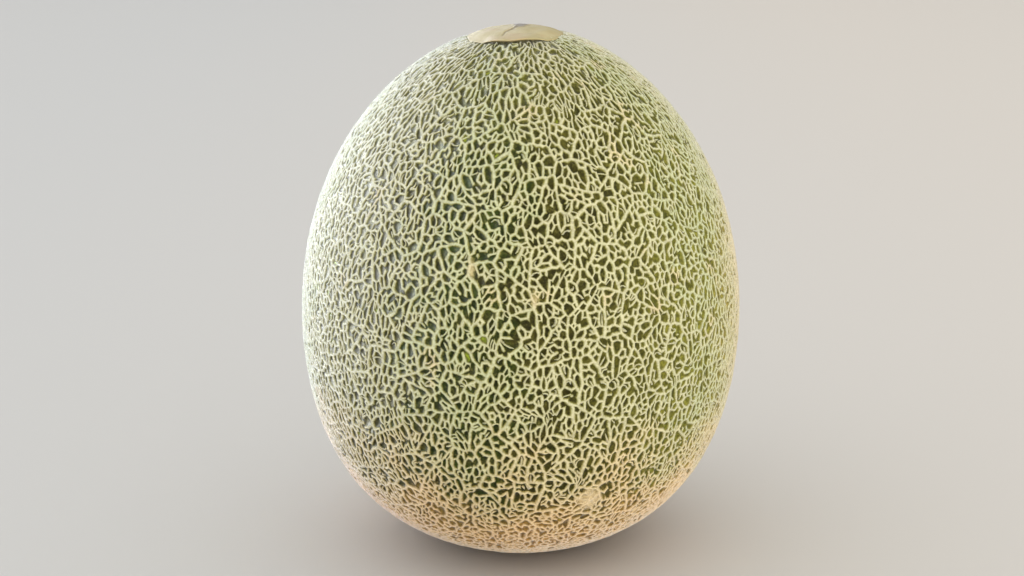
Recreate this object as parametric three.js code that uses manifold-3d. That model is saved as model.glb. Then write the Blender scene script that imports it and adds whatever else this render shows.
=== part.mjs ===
// A whole netted oval melon, as picked: one solid with a raised corky net, a smooth corky scar plate
// on top, a small round scar in the lower end and a small flat spot to rest on.
// Millimetres, +Z up. The origin is the middle of the flat spot, below the middle of the fruit.

import * as THREE from 'three';
import { ConvexHull } from 'three/addons/math/ConvexHull.js';
import { mergeVertices } from 'three/addons/utils/BufferGeometryUtils.js';
import Module from 'manifold-3d';

// The egg, measured over the crests of the net
const EGG_RADIUS = 77.26;
const EGG_LENGTH = 186;
const EGG_TAPER = -0.072;
const EGG_FULLNESS = 0.079;
const EGG_SHOULDER = -0.088;

// The flat spot and the round scar in it
const FLAT_SPOT_DEPTH = 2;
const SCAR_RADIUS = 6.5;
const SCAR_DEPTH = 2.2;
const SCAR_SIDES = 24;

// The raised net, coarser than on the real rind, where a mesh is about 3.3 mm across
const NET_CELLS = 640;
const NET_SEED = 36;
const NET_JITTER = 0.42;
const NET_HEIGHT = 1.8;
const NET_HEIGHT_CHANGE = 0.3;
const NET_FOOT = 1.7;
const NET_LARGEST_INSET = 0.42;
const NET_SHORTEST_SIDE = 0.9;
const SKIN_SWELL = 0.25;

// The net fades out on the flat spot and below the scar plate
const BASE_FADE_START = 20;
const BASE_FADE_END = 31;
const TOP_FADE_START = 19.5;
const TOP_FADE_END = 26;

// The corky scar plate on top
const PLATE_HALF_WIDTH = 17;
const PLATE_HALF_DEPTH = 19.5;
const PLATE_SQUARENESS = 2.6;
const PLATE_SHIFT_X = -2.2;
const PLATE_SHIFT_Y = -0.5;
const PLATE_RISE = 0.6;
const PLATE_EDGE_LIFT = 0.4;
const PLATE_EDGE_ROUNDING = 0.5;
const PLATE_ROOT = 4;
const PLATE_SIDES = 32;
const PLATE_RINGS = 3;

const THREAD_COLOUR = new THREE.Color(0.80, 0.75, 0.53);
const SKIN_COLOUR = new THREE.Color(0.22, 0.25, 0.06);

const GOLDEN_ANGLE = Math.PI * (3 - Math.sqrt(5));
const UP = new THREE.Vector3(0, 0, 1);

// Gives the same row of numbers from 0 to 1 for the same seed
function seededRandom(seed) {
    let state = seed;
    return () => {
        state = (state * 1664525 + 1013904223) % 4294967296;
        return state / 4294967296;
    };
}

// Half of the egg's width at a level from -1 at the lower end to 1 at the top, as a share of a ball's
function fullness(level) {
    return 1 + EGG_TAPER * level + EGG_FULLNESS * level ** 2 + EGG_SHOULDER * level ** 3;
}

function fullnessSlope(level) {
    return EGG_TAPER + 2 * EGG_FULLNESS * level + 3 * EGG_SHOULDER * level ** 2;
}

// The egg's outward direction where a direction from the middle of a ball meets it
function eggNormal(direction) {
    const level = direction.z;
    const rise = level * fullness(level) - (1 - level ** 2) * fullnessSlope(level);
    const half = EGG_LENGTH / 2;
    return new THREE.Vector3(half * direction.x, half * direction.y, EGG_RADIUS * rise).normalize();
}

// A point of the egg, moved out by a height
function eggPoint(direction, height) {
    const wide = EGG_RADIUS * fullness(direction.z);
    const tall = EGG_LENGTH / 2 * (1 + direction.z) - FLAT_SPOT_DEPTH;
    const point = new THREE.Vector3(wide * direction.x, wide * direction.y, tall);
    return point.addScaledVector(eggNormal(direction), height);
}

// 0 where the rind is smooth and 1 where the net stands at full height
function netShare(direction) {
    const outward = EGG_RADIUS * fullness(direction.z) * Math.hypot(direction.x, direction.y);
    if (direction.z > 0) {
        return THREE.MathUtils.smoothstep(outward, TOP_FADE_START, TOP_FADE_END);
    }
    return THREE.MathUtils.smoothstep(outward, BASE_FADE_START, BASE_FADE_END);
}

// One point for each mesh of the net, spread evenly in a spiral and then shaken
function netSeeds() {
    const random = seededRandom(NET_SEED);
    const step = Math.sqrt(4 * Math.PI / NET_CELLS);
    const seeds = [];
    for (let index = 0; index < NET_CELLS; index += 1) {
        const level = 1 - (2 * index + 1) / NET_CELLS;
        const outward = Math.sqrt(1 - level ** 2);
        const angle = index * GOLDEN_ANGLE;
        const seed = new THREE.Vector3(outward * Math.cos(angle), outward * Math.sin(angle), level);
        const shake = new THREE.Vector3(random() - 0.5, random() - 0.5, random() - 0.5);
        seed.addScaledVector(shake, 2 * NET_JITTER * step);
        seeds.push(seed.normalize());
    }
    return seeds;
}

// The corners of the net: one for each triangle of nearest seeds, with the seeds round it.
// Corners that nearly touch become one.
function netCorners(seeds) {
    const numberOf = new Map(seeds.map((seed, index) => [seed, index]));
    const hull = new ConvexHull().setFromPoints(seeds);
    const touching = NET_SHORTEST_SIDE / EGG_RADIUS;
    const corners = [];
    for (const face of hull.faces) {
        const direction = face.normal.clone().normalize();
        const owners = [0, 1, 2].map((side) => numberOf.get(face.getEdge(side).head().point));
        const near = corners.find((corner) => corner.direction.distanceTo(direction) < touching);
        if (near) {
            owners.forEach((owner) => near.owners.add(owner));
        } else {
            corners.push({ direction, owners: new Set(owners) });
        }
    }
    return corners;
}

// The corners round one seed, in turn, anticlockwise as seen from outside
function cornersRound(seed, corners) {
    const east = new THREE.Vector3().crossVectors(UP, seed).normalize();
    const north = new THREE.Vector3().crossVectors(seed, east);
    const angleOf = (corner) => Math.atan2(corner.direction.dot(north), corner.direction.dot(east));
    return corners.sort((first, second) => angleOf(first) - angleOf(second));
}

// The foot of a thread: a corner drawn in towards the middle of its mesh
function footDirection(middle, corner) {
    const reach = middle.distanceTo(corner);
    const inset = Math.min(NET_FOOT / EGG_RADIUS, NET_LARGEST_INSET * reach);
    return corner.clone().lerp(middle, inset / reach).normalize();
}

// The rind with its net: a sharp crest between each two meshes, and a sunken floor in each mesh
function makeNetGeometry() {
    const seeds = netSeeds();
    const corners = netCorners(seeds);
    const random = seededRandom(NET_SEED + 1);
    const cornersOf = seeds.map(() => []);
    for (const corner of corners) {
        const drop = NET_HEIGHT_CHANGE * random() * netShare(corner.direction);
        corner.point = eggPoint(corner.direction, -drop);
        corner.owners.forEach((owner) => cornersOf[owner].push(corner));
    }
    const places = [];
    const addTriangle = (...points) => points.forEach((point) => places.push(...point.toArray()));
    seeds.forEach((seed, index) => {
        const ring = cornersRound(seed, cornersOf[index]);
        const middle = new THREE.Vector3();
        ring.forEach((corner) => middle.add(corner.direction));
        middle.normalize();
        const floor = eggPoint(middle, (SKIN_SWELL - NET_HEIGHT) * netShare(middle));
        const feet = ring.map((corner) => {
            const direction = footDirection(middle, corner.direction);
            return eggPoint(direction, -NET_HEIGHT * netShare(direction));
        });
        ring.forEach((corner, turn) => {
            const next = (turn + 1) % ring.length;
            addTriangle(corner.point, ring[next].point, feet[next]);
            addTriangle(corner.point, feet[next], feet[turn]);
            addTriangle(feet[turn], feet[next], floor);
        });
    });
    const geometry = new THREE.BufferGeometry();
    geometry.setAttribute('position', new THREE.Float32BufferAttribute(places, 3));
    return geometry;
}

// A point of the plate at a share of the way from its middle to its edge, which is a little square
function platePoint(share, angle, height) {
    const across = Math.abs(Math.cos(angle) / PLATE_HALF_WIDTH) ** PLATE_SQUARENESS;
    const deep = Math.abs(Math.sin(angle) / PLATE_HALF_DEPTH) ** PLATE_SQUARENESS;
    const reach = share / (across + deep) ** (1 / PLATE_SQUARENESS);
    const ball = EGG_RADIUS * fullness(1);
    const x = (PLATE_SHIFT_X + reach * Math.cos(angle)) / ball;
    const y = (PLATE_SHIFT_Y + reach * Math.sin(angle)) / ball;
    return eggPoint(new THREE.Vector3(x, y, Math.sqrt(1 - x ** 2 - y ** 2)), height);
}

// The plate: it follows the egg, stands proud of it and lifts at its rounded edge
function makePlateGeometry() {
    const profile = [];
    for (let ring = 1; ring <= PLATE_RINGS; ring += 1) {
        const share = ring / (PLATE_RINGS + 0.4);
        profile.push([share, PLATE_RISE + PLATE_EDGE_LIFT * share ** 4]);
    }
    profile.push([1, PLATE_RISE + PLATE_EDGE_LIFT - PLATE_EDGE_ROUNDING]);
    profile.push([0.94, -PLATE_ROOT]);
    const places = platePoint(0, 0, PLATE_RISE).toArray();
    for (const [share, height] of profile) {
        for (let side = 0; side < PLATE_SIDES; side += 1) {
            const angle = side * 2 * Math.PI / PLATE_SIDES;
            places.push(...platePoint(share, angle, height).toArray());
        }
    }
    places.push(...platePoint(0, 0, -PLATE_ROOT).toArray());
    const last = places.length / 3 - 1;
    const order = [];
    for (let side = 0; side < PLATE_SIDES; side += 1) {
        const next = (side + 1) % PLATE_SIDES;
        order.push(0, 1 + side, 1 + next);
        for (let ring = 1; ring < profile.length; ring += 1) {
            const inner = 1 + (ring - 1) * PLATE_SIDES;
            const outer = inner + PLATE_SIDES;
            order.push(inner + side, outer + side, outer + next);
            order.push(inner + side, outer + next, inner + next);
        }
        const bottom = 1 + (profile.length - 1) * PLATE_SIDES;
        order.push(last, bottom + next, bottom + side);
    }
    const geometry = new THREE.BufferGeometry();
    geometry.setAttribute('position', new THREE.Float32BufferAttribute(places, 3));
    geometry.setIndex(order);
    return geometry;
}

// A block that takes off all that is below the flat spot
function makeGroundGeometry() {
    const depth = 20;
    return new THREE.BoxGeometry(2 * EGG_RADIUS, 2 * EGG_RADIUS, depth).translate(0, 0, -depth / 2);
}

// A shallow round hollow with a raised middle, turned about the axis
function makeScarGeometry() {
    const profile = [
        [0, -SCAR_DEPTH], [SCAR_RADIUS, -SCAR_DEPTH], [SCAR_RADIUS, 0.25 * SCAR_DEPTH],
        [0.8 * SCAR_RADIUS, SCAR_DEPTH], [0.45 * SCAR_RADIUS, SCAR_DEPTH], [0, 0.6 * SCAR_DEPTH],
    ];
    const points = profile.map(([outward, height]) => new THREE.Vector2(outward, height));
    return new THREE.LatheGeometry(points, SCAR_SIDES).rotateX(Math.PI / 2);
}

// Turns a closed three.js geometry into a solid that can be joined and cut
function toSolid(wasm, geometry) {
    const bare = geometry.clone();
    bare.deleteAttribute('normal');
    bare.deleteAttribute('uv');
    const merged = mergeVertices(bare, 1e-3);
    const vertProperties = new Float32Array(merged.attributes.position.array);
    const triVerts = new Uint32Array(merged.index.array);
    return new wasm.Manifold(new wasm.Mesh({ numProp: 3, vertProperties, triVerts }));
}

// 0 on the skin in the meshes and 1 on the crests of the net
function crestShare(x, y, z) {
    const level = THREE.MathUtils.clamp(2 * (z + FLAT_SPOT_DEPTH) / EGG_LENGTH - 1, -1, 1);
    const outward = Math.hypot(x, y) / (EGG_RADIUS * fullness(level));
    const depth = (1 - Math.hypot(outward, level)) * EGG_RADIUS;
    return THREE.MathUtils.clamp(1 - depth / NET_HEIGHT, 0, 1);
}

// Turns a solid back into a three.js geometry, green in the meshes and tan on the net
function toGeometry(solid) {
    const mesh = solid.getMesh();
    const geometry = new THREE.BufferGeometry();
    const position = new THREE.Float32BufferAttribute(mesh.vertProperties, 3);
    const colours = [];
    for (let index = 0; index < position.count; index += 1) {
        const share = crestShare(position.getX(index), position.getY(index), position.getZ(index));
        colours.push(...SKIN_COLOUR.clone().lerp(THREAD_COLOUR, share).toArray());
    }
    geometry.setAttribute('position', position);
    geometry.setAttribute('color', new THREE.Float32BufferAttribute(colours, 3));
    geometry.setIndex(Array.from(mesh.triVerts));
    geometry.computeVertexNormals();
    return geometry;
}

const wasm = await Module();
wasm.setup();

const rind = toSolid(wasm, makeNetGeometry());
const plate = toSolid(wasm, makePlateGeometry());
const ground = toSolid(wasm, makeGroundGeometry());
const scar = toSolid(wasm, makeScarGeometry());
const whole = rind.add(plate).subtract(ground).subtract(scar);

const rindMaterial = new THREE.MeshStandardMaterial({
    color: 0xffffff, vertexColors: true, roughness: 0.75, metalness: 0, flatShading: true,
});
const melon = new THREE.Mesh(toGeometry(whole), rindMaterial);
melon.name = 'melon';

const fruit = new THREE.Group();
fruit.add(melon);

export default fruit;
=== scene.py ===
"""A whole netted oval melon, as picked, standing on its small flat spot.

The fruit is one body that grew as one piece. Its rind carries a raised corky net. The main threads
follow the solid's coarse ridges, a little bent, and finer threads split each of their meshes again
and again, as a real net forms: the older a thread, the wider and taller it is. Thin low spurs and
bridges stand on the floors of the wider meshes. A smooth corky scar plate with a lifted front edge
lies on top, and a small round scar is sunk in the flat spot below.

All sizes are in metres, +Z up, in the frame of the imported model.
"""

from __future__ import annotations

import logging
import math
import random
from collections.abc import Callable
from dataclasses import dataclass, field
from enum import Enum

import bmesh
import bpy
import numpy as np
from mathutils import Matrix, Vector

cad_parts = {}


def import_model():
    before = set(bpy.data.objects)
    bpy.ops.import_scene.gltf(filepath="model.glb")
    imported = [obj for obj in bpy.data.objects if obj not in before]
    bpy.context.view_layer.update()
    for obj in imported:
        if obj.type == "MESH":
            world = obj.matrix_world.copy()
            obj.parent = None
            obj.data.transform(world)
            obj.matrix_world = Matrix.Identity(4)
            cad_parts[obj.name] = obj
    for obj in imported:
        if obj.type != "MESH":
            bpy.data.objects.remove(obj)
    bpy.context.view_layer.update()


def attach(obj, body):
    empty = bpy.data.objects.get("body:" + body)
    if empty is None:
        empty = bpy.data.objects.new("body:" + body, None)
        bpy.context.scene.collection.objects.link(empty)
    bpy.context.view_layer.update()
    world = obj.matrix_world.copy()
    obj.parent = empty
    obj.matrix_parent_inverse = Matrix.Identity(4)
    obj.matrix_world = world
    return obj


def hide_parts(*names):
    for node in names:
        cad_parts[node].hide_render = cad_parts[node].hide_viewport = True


LOG = logging.getLogger("melon")
NODE = "melon"
BODY = "root"
GOLDEN_ANGLE = math.pi * (3 - math.sqrt(5))
TINY = 1e-9
EVEN_TONE = 0.5

# The row of draws that shakes the seeds of the main net, the same as in the solid.
DRAW_FACTOR = 1664525
DRAW_STEP = 1013904223
DRAW_RANGE = 2**32

# The sockets of a mixing node that hold its two colours and the mixed one.
FIRST_COLOUR = 6
SECOND_COLOUR = 7
MIXED_COLOUR = 2

Array = np.ndarray
Socket = bpy.types.NodeSocket
Colour = tuple[float, float, float, float]
Spot = tuple[float, float]
Range = tuple[float, float]
Face = tuple[int, ...]


class Thread(Enum):
    """The ages of a thread of the net, from the oldest and widest to the youngest and finest.

    Each value holds the half width at the foot and how far the crest stays below a main thread's.
    """

    MAIN = (0.00085, 0.0)
    STRONG = (0.00080, 0.00004)
    PLAIN = (0.00075, 0.00008)
    FINE = (0.00069, 0.00011)
    HAIR = (0.00062, 0.00014)

    @property
    def half_foot(self) -> float:
        """Half the width of the thread where it meets the skin."""
        return self.value[0]

    @property
    def drop(self) -> float:
        """How far the crest stays below a main thread's crest."""
        return self.value[1]

    @classmethod
    def of_age(cls, age: int) -> "Thread":
        """The thread of an age, where all that are younger than the last are alike."""
        ages = list(cls)
        return ages[min(age, len(ages) - 1)]


def srgb(red: int, green: int, blue: int) -> Colour:
    """Turns a screen colour into the linear one that a shader takes.

    Args:
        red: Red, from 0 to 255.
        green: Green, from 0 to 255.
        blue: Blue, from 0 to 255.

    Returns:
        The linear colour, with full alpha.
    """

    def linear(part: int) -> float:
        """The linear value of one part of the colour."""
        share = part / 255
        return share / 12.92 if share <= 0.04045 else ((share + 0.055) / 1.055) ** 2.4

    return linear(red), linear(green), linear(blue), 1.0


def smooth_step(values: Array, low: float, high: float) -> Array:
    """Rises smoothly from 0 at low to 1 at high.

    Args:
        values: The values to place between low and high.
        low: The value where the rise starts.
        high: The value where it ends.

    Returns:
        One share from 0 to 1 for each value.
    """
    share = np.clip((values - low) / (high - low), 0, 1)
    return share * share * (3 - 2 * share)


@dataclass(frozen=True)
class Wave:
    """A wave round an outline: its size as a share of the outline, how often it comes, its start."""

    size: float
    count: int
    start: float = 0.0


def wavy(angles: Array, waves: tuple[Wave, ...]) -> Array:
    """How far an uneven round outline reaches at each angle, where an even one reaches 1."""
    return 1 + sum(wave.size * np.sin(wave.count * angles + wave.start) for wave in waves)


def make_piece(
    name: str,
    points: Array,
    faces: list[Face],
    finish: bpy.types.Material,
    values: dict[str, Array] | None = None,
) -> bpy.types.Object:
    """Makes a smooth piece and puts it in the scene.

    Args:
        name: The piece's name.
        points: Its points, one in each row.
        faces: Its faces, as rows of point numbers.
        finish: Its material.
        values: The values that the material reads, one for each point, by their names.

    Returns:
        The finished piece.
    """
    mesh = bpy.data.meshes.new(name)
    mesh.from_pydata(points.tolist(), [], faces)
    for label, row in (values or {}).items():
        layer = mesh.attributes.new(label, "FLOAT", "POINT")
        layer.data.foreach_set("value", row.astype(np.float32))
    mesh.polygons.foreach_set("use_smooth", [True] * len(mesh.polygons))
    mesh.materials.append(finish)
    piece = bpy.data.objects.new(name, mesh)
    bpy.context.scene.collection.objects.link(piece)
    return piece


def ring_faces(sides: int, rings: int, faces_down: bool = False) -> list[Face]:
    """The faces of a round body: a middle point, rings of points from there on, and a last middle point.

    Args:
        sides: How many points a ring has.
        rings: How many rings there are.
        faces_down: Whether the first middle point is on the underside.

    Returns:
        The faces, as rows of point numbers.
    """
    faces: list[Face] = []
    last = 1 + rings * sides
    under = last - sides
    for side in range(sides):
        here, there = side, (side + 1) % sides
        if faces_down:
            here, there = there, here
        faces.append((0, 1 + here, 1 + there))
        for inner in range(1, under, sides):
            outer = inner + sides
            faces.append((inner + here, outer + here, outer + there, inner + there))
        faces.append((last, under + there, under + here))
    return faces


@dataclass(frozen=True)
class Egg:
    """The fruit's outline over the crests of the net, turned about the vertical axis."""

    radius: float = 0.07726
    length: float = 0.186
    taper: float = -0.072
    fullness: float = 0.079
    shoulder: float = -0.088
    flat_spot_depth: float = 0.002

    def share(self, level: Array | float) -> Array | float:
        """The egg's width at a level from -1 to 1, as a share of a ball's width there."""
        return 1 + self.taper * level + self.fullness * level**2 + self.shoulder * level**3

    def share_slope(self, level: Array | float) -> Array | float:
        """How fast that share changes with the level."""
        return self.taper + 2 * self.fullness * level + 3 * self.shoulder * level**2

    def normals(self, directions: Array) -> Array:
        """Outward directions of the egg where directions from the middle of a ball meet it.

        Args:
            directions: Unit directions, one in each row.

        Returns:
            Unit normals, one in each row.
        """
        level = directions[:, 2]
        rise = level * self.share(level) - (1 - level**2) * self.share_slope(level)
        half = self.length / 2
        raw = np.stack([half * directions[:, 0], half * directions[:, 1], self.radius * rise], 1)
        return raw / np.linalg.norm(raw, axis=1, keepdims=True)

    def points(self, directions: Array, heights: Array | float) -> Array:
        """Points of the egg, moved out by heights.

        Args:
            directions: Unit directions, one in each row.
            heights: One height for each direction, or one for all.

        Returns:
            Points, one in each row.
        """
        level = directions[:, 2]
        wide = self.radius * self.share(level)
        tall = self.length / 2 * (1 + level) - self.flat_spot_depth
        base = np.stack([wide * directions[:, 0], wide * directions[:, 1], tall], 1)
        return base + self.normals(directions) * np.reshape(heights, (-1, 1))

    def directions(self, points: Array) -> Array:
        """The directions that lead to points on or near the egg.

        Args:
            points: Points near the egg, one in each row.

        Returns:
            Unit directions, one in each row.
        """
        level = np.clip(2 * (points[:, 2] + self.flat_spot_depth) / self.length - 1, -1, 1)
        wide = self.radius * self.share(level)
        raw = np.stack([points[:, 0] / wide, points[:, 1] / wide, level], 1)
        return raw / np.linalg.norm(raw, axis=1, keepdims=True)

    def compass(self, point: Vector) -> tuple[Vector, Vector]:
        """The directions along the surface at a point.

        Args:
            point: A point on or near the egg.

        Returns:
            The direction round the fruit, and the one up towards its top.
        """
        level = max(-1.0, min(1.0, 2 * (point.z + self.flat_spot_depth) / self.length - 1))
        wide = self.radius * self.share(level)
        outward_squared = point.x**2 + point.y**2
        lean = level - outward_squared / (wide**2 * self.share(level)) * self.share_slope(level)
        normal = Vector((point.x / wide**2, point.y / wide**2, lean * 2 / self.length)).normalized()
        east = Vector((-point.y, point.x, 0))
        east = east.normalized() if east.length > TINY else Vector((1, 0, 0))
        return east, normal.cross(east).normalized()


@dataclass
class MainNet:
    """The meshes of the main threads: the same seeds, and so the same meshes, as in the solid."""

    cells: int = 640
    seed: int = 36
    jitter: float = 0.42

    def seeds(self) -> Array:
        """One direction for each mesh, spread evenly in a spiral and then shaken.

        Returns:
            Unit directions, one in each row.
        """
        state = self.seed
        step = math.sqrt(4 * math.pi / self.cells)
        rows = []
        for index in range(self.cells):
            shake = []
            for _ in range(3):
                state = (state * DRAW_FACTOR + DRAW_STEP) % DRAW_RANGE
                shake.append(2 * self.jitter * step * (state / DRAW_RANGE - 0.5))
            level = 1 - (2 * index + 1) / self.cells
            outward = math.sqrt(1 - level**2)
            angle = index * GOLDEN_ANGLE
            rows.append((
                outward * math.cos(angle) + shake[0],
                outward * math.sin(angle) + shake[1],
                level + shake[2],
            ))
        raw = np.array(rows)
        return raw / np.linalg.norm(raw, axis=1, keepdims=True)

    def meshes(self) -> tuple[Array, list[list[int]]]:
        """The corners of the main net, and the loop of corners round each mesh.

        Returns:
            Unit directions of the corners, and one anticlockwise loop for each seed.
        """
        seeds = self.seeds()
        work = bmesh.new()
        number = {work.verts.new(seed): index for index, seed in enumerate(seeds)}
        bmesh.ops.convex_hull(work, input=work.verts)
        triangles = [[number[vert] for vert in face.verts] for face in work.faces]
        work.free()
        corners = []
        onward: list[dict[int, tuple[int, int]]] = [{} for _ in seeds]
        for first, second, third in triangles:
            normal = np.cross(seeds[second] - seeds[first], seeds[third] - seeds[first])
            if normal @ seeds[first] < 0:
                second, third = third, second
                normal = -normal
            around = (first, second, third)
            for turn in range(len(around)):
                owner, here, there = around[turn:] + around[:turn]
                onward[owner][here] = (there, len(corners))
            corners.append(normal / np.linalg.norm(normal))
        return np.array(corners), [self._walk_round(steps) for steps in onward]

    @staticmethod
    def _walk_round(steps: dict[int, tuple[int, int]]) -> list[int]:
        """Lists the corners round a seed anticlockwise, from each neighbouring seed to the next.

        Args:
            steps: For each neighbouring seed, the next one round and the corner between them.

        Returns:
            The corners' numbers, in order.
        """
        start = next(iter(steps))
        here, corner = steps[start]
        loop = [corner]
        while here != start:
            here, corner = steps[here]
            loop.append(corner)
        return loop


@dataclass
class FineNet:
    """The whole net as a flat graph: corners, and a loop of corners round each mesh.

    Attributes:
        mesh_area: The area below which a mesh isn't cut again.
        area_spread: How much that area differs from mesh to mesh.
        upright_stretch: How many times longer than wide the meshes are.
        top_stretch: How much more they are drawn out at the very top.
        top_shares: Where that starts and where it is full, as shares of the fruit's length.
        turn_spread: How far a cut turns from straight across a mesh, in radians.
        off_middle: How far from the middle of a mesh a cut may be, as a share of its reach.
        smallest_piece: The least share of a mesh that its first try at a cut may leave.
        tries: How many cuts are tried before a mesh stays whole.
        short_side: The length below which a cut ends at one of a side's corners.
        nearest_cut: How near to a corner other cuts may end, as a share of that length.
        shortest_side: The length below which a side's two corners become one.
        most_spokes: A cut ends only at a corner where fewer threads than this meet.
        sway: How far the whole net is bent from side to side.
        sway_length: How far it is from one bend to the next.
        shake: How far each corner is shaken.
        pulls: How hard the threads of each age pull on their corners.
        relax_rounds: How many times the corners give way to those pulls.
        broken_share: The share of fine threads that are broken in the middle.
        broken_from_age: The least age of such a thread.
        gap_shares: Where along it the gap may be.
        levels: How many times each mesh was cut.
        spokes: How many threads meet at each corner.
        owner: The mesh on the left of each side.
        gaps: The corners at the gaps of broken threads.
    """

    egg: Egg
    mesh_area: float = 1.02e-5
    area_spread: float = 0.16
    upright_stretch: float = 1.28
    top_stretch: float = 0.9
    top_shares: Range = (0.75, 0.97)
    turn_spread: float = 0.42
    off_middle: float = 0.10
    smallest_piece: float = 0.3
    tries: int = 7
    short_side: float = 0.0011
    nearest_cut: float = 0.45
    shortest_side: float = 0.00042
    most_spokes: int = 4
    sway: float = 0.00050
    sway_length: float = 0.011
    sway_waves: int = 14
    shake: float = 0.00017
    pulls: tuple[float, ...] = (3.0, 1.9, 1.3, 1.0, 0.8)
    relax_rounds: int = 3
    relax_share: float = 0.5
    broken_share: float = 0.22
    broken_from_age: int = 2
    broken_length: float = 0.0015
    gap_shares: Range = (0.35, 0.65)
    seed: int = 7
    places: list[Vector] = field(default_factory=list)
    loops: list[list[int]] = field(default_factory=list)
    levels: list[int] = field(default_factory=list)
    spokes: list[int] = field(default_factory=list)
    owner: dict[tuple[int, int], int] = field(default_factory=dict)
    ages: dict[tuple[int, int], int] = field(default_factory=dict)
    gaps: set[int] = field(default_factory=set)

    def __post_init__(self) -> None:
        """Starts the row of random draws."""
        self.draw = random.Random(self.seed)

    @staticmethod
    def side(first: int, second: int) -> tuple[int, int]:
        """The name of the side between two corners, the same from both ends."""
        return (first, second) if first < second else (second, first)

    def grow(self, main: MainNet, is_hidden: Callable[[Vector], bool]) -> None:
        """Grows the net: main threads first, then finer and finer ones.

        Args:
            main: The main net.
            is_hidden: Says whether a place is covered, so that its mesh needs no finer threads.
        """
        directions, loops = main.meshes()
        self.places = [Vector(point) for point in self.egg.points(directions, 0)]
        self.loops = loops
        self.levels = [0] * len(loops)
        self.spokes = [3] * len(self.places)
        for index, loop in enumerate(loops):
            for first, second in zip(loop, loop[1:] + loop[:1]):
                self.owner[first, second] = index
                self.ages[self.side(first, second)] = 0
        self._divide_all(is_hidden)
        self._relax()
        self._join_near_corners()
        self._break_threads()

    def _divide_all(self, is_hidden: Callable[[Vector], bool]) -> None:
        """Cuts every mesh in two, and its halves again, until each is small enough.

        Args:
            is_hidden: Says whether a place is covered, so that its mesh stays whole.
        """
        waiting = list(range(len(self.loops)))
        while waiting:
            mesh = waiting.pop()
            middle = self._middle(mesh)
            if is_hidden(middle):
                continue
            wanted = self.mesh_area * math.exp(self.draw.gauss(0, self.area_spread))
            flat = self._flatten(mesh, middle)
            if self.area(flat) < wanted:
                continue
            stretch = self.upright_stretch + self.top_stretch * self.nearness_to_top(middle)
            for attempt in range(self.tries):
                child = self._cut(mesh, flat, stretch, self.smallest_piece * (1 - attempt / self.tries))
                if child is not None:
                    waiting += [mesh, child]
                    break

    def nearness_to_top(self, place: Vector) -> float:
        """0 on most of the fruit, rising to 1 at the top, where the meshes are drawn out upwards."""
        return float(smooth_step(np.array(place.z / self.egg.length), *self.top_shares))

    def _middle(self, mesh: int) -> Vector:
        """The mean of a mesh's corners."""
        loop = self.loops[mesh]
        return sum((self.places[corner] for corner in loop), Vector()) / len(loop)

    def _flatten(self, mesh: int, middle: Vector) -> list[Spot]:
        """The corners of a mesh on the flat, along the compass directions at its middle."""
        east, north = self.egg.compass(middle)
        return [
            ((self.places[corner] - middle).dot(east), (self.places[corner] - middle).dot(north))
            for corner in self.loops[mesh]
        ]

    @staticmethod
    def area(flat: list[Spot]) -> float:
        """The area of a flat loop."""
        return 0.5 * sum(a[0] * b[1] - a[1] * b[0] for a, b in zip(flat, flat[1:] + flat[:1]))

    def _cut(self, mesh: int, flat: list[Spot], stretch: float, smallest: float) -> int | None:
        """Cuts a mesh in two across its long axis with one new thread.

        Args:
            mesh: The mesh to cut.
            flat: Its corners on the flat.
            stretch: How many times longer than wide the net's meshes are here.
            smallest: The least share of the mesh that either half may have.

        Returns:
            The number of the new mesh, or None where this cut would leave a sliver.
        """
        loop = self.loops[mesh]
        squeezed = [(east, north / stretch) for east, north in flat]
        spread_east = sum(east * east for east, _ in squeezed)
        spread_north = sum(north * north for _, north in squeezed)
        spread_both = sum(east * north for east, north in squeezed)
        angle = 0.5 * math.atan2(2 * spread_both, spread_east - spread_north)
        angle += self.draw.gauss(0, self.turn_spread)
        along = [east * math.cos(angle) + north * math.sin(angle) for east, north in squeezed]
        reach = max(along) - min(along)
        place = (max(along) + min(along)) / 2 + self.draw.uniform(-1, 1) * self.off_middle * reach
        signed = [value - place for value in along]
        count = len(loop)
        crossed = [k for k in range(count) if signed[k] * signed[(k + 1) % count] < 0]
        if len(crossed) != 2:
            return None
        cuts = [self._place_on_side(loop, k, signed) for k in crossed]
        if None in cuts or not self._halves_are_whole(flat, *cuts, smallest):
            return None
        sides = [(loop[k], loop[(k + 1) % count], share) for k, share in cuts]
        return self._split(mesh, *(self._corner_at(*side) for side in sides))

    def _place_on_side(self, loop: list[int], k: int, signed: list[float]) -> tuple[int, float] | None:
        """Where a cut meets a side: the number of a corner and the share of the way to the next.

        Args:
            loop: The corners round the mesh.
            k: The number of the side's first corner in the loop.
            signed: Each corner's distance from the cut.

        Returns:
            A corner's number in the loop, and 0 on the corner itself or a share past it, or None where
            the side is short and both its corners have threads enough.
        """
        count = len(loop)
        after = (k + 1) % count
        share = signed[k] / (signed[k] - signed[after])
        length = (self.places[loop[after]] - self.places[loop[k]]).length
        if length < self.short_side:
            for corner in (k, after) if share < 0.5 else (after, k):
                if self.spokes[loop[corner]] < self.most_spokes:
                    return corner, 0.0
            return None
        edge = self.nearest_cut * self.short_side / length
        return k, max(edge, min(1 - edge, share))

    def _halves_are_whole(
        self, flat: list[Spot], first: tuple[int, float], second: tuple[int, float], smallest: float
    ) -> bool:
        """Says whether both halves of a cut are large enough and have three corners or more.

        Args:
            flat: The mesh's corners on the flat.
            first: Where one end of the cut is: a corner's number, and the share of the way to the next.
            second: Where its other end is.
            smallest: The least share of the mesh that either half may have.

        Returns:
            True where both halves are good.
        """
        count = len(flat)

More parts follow.
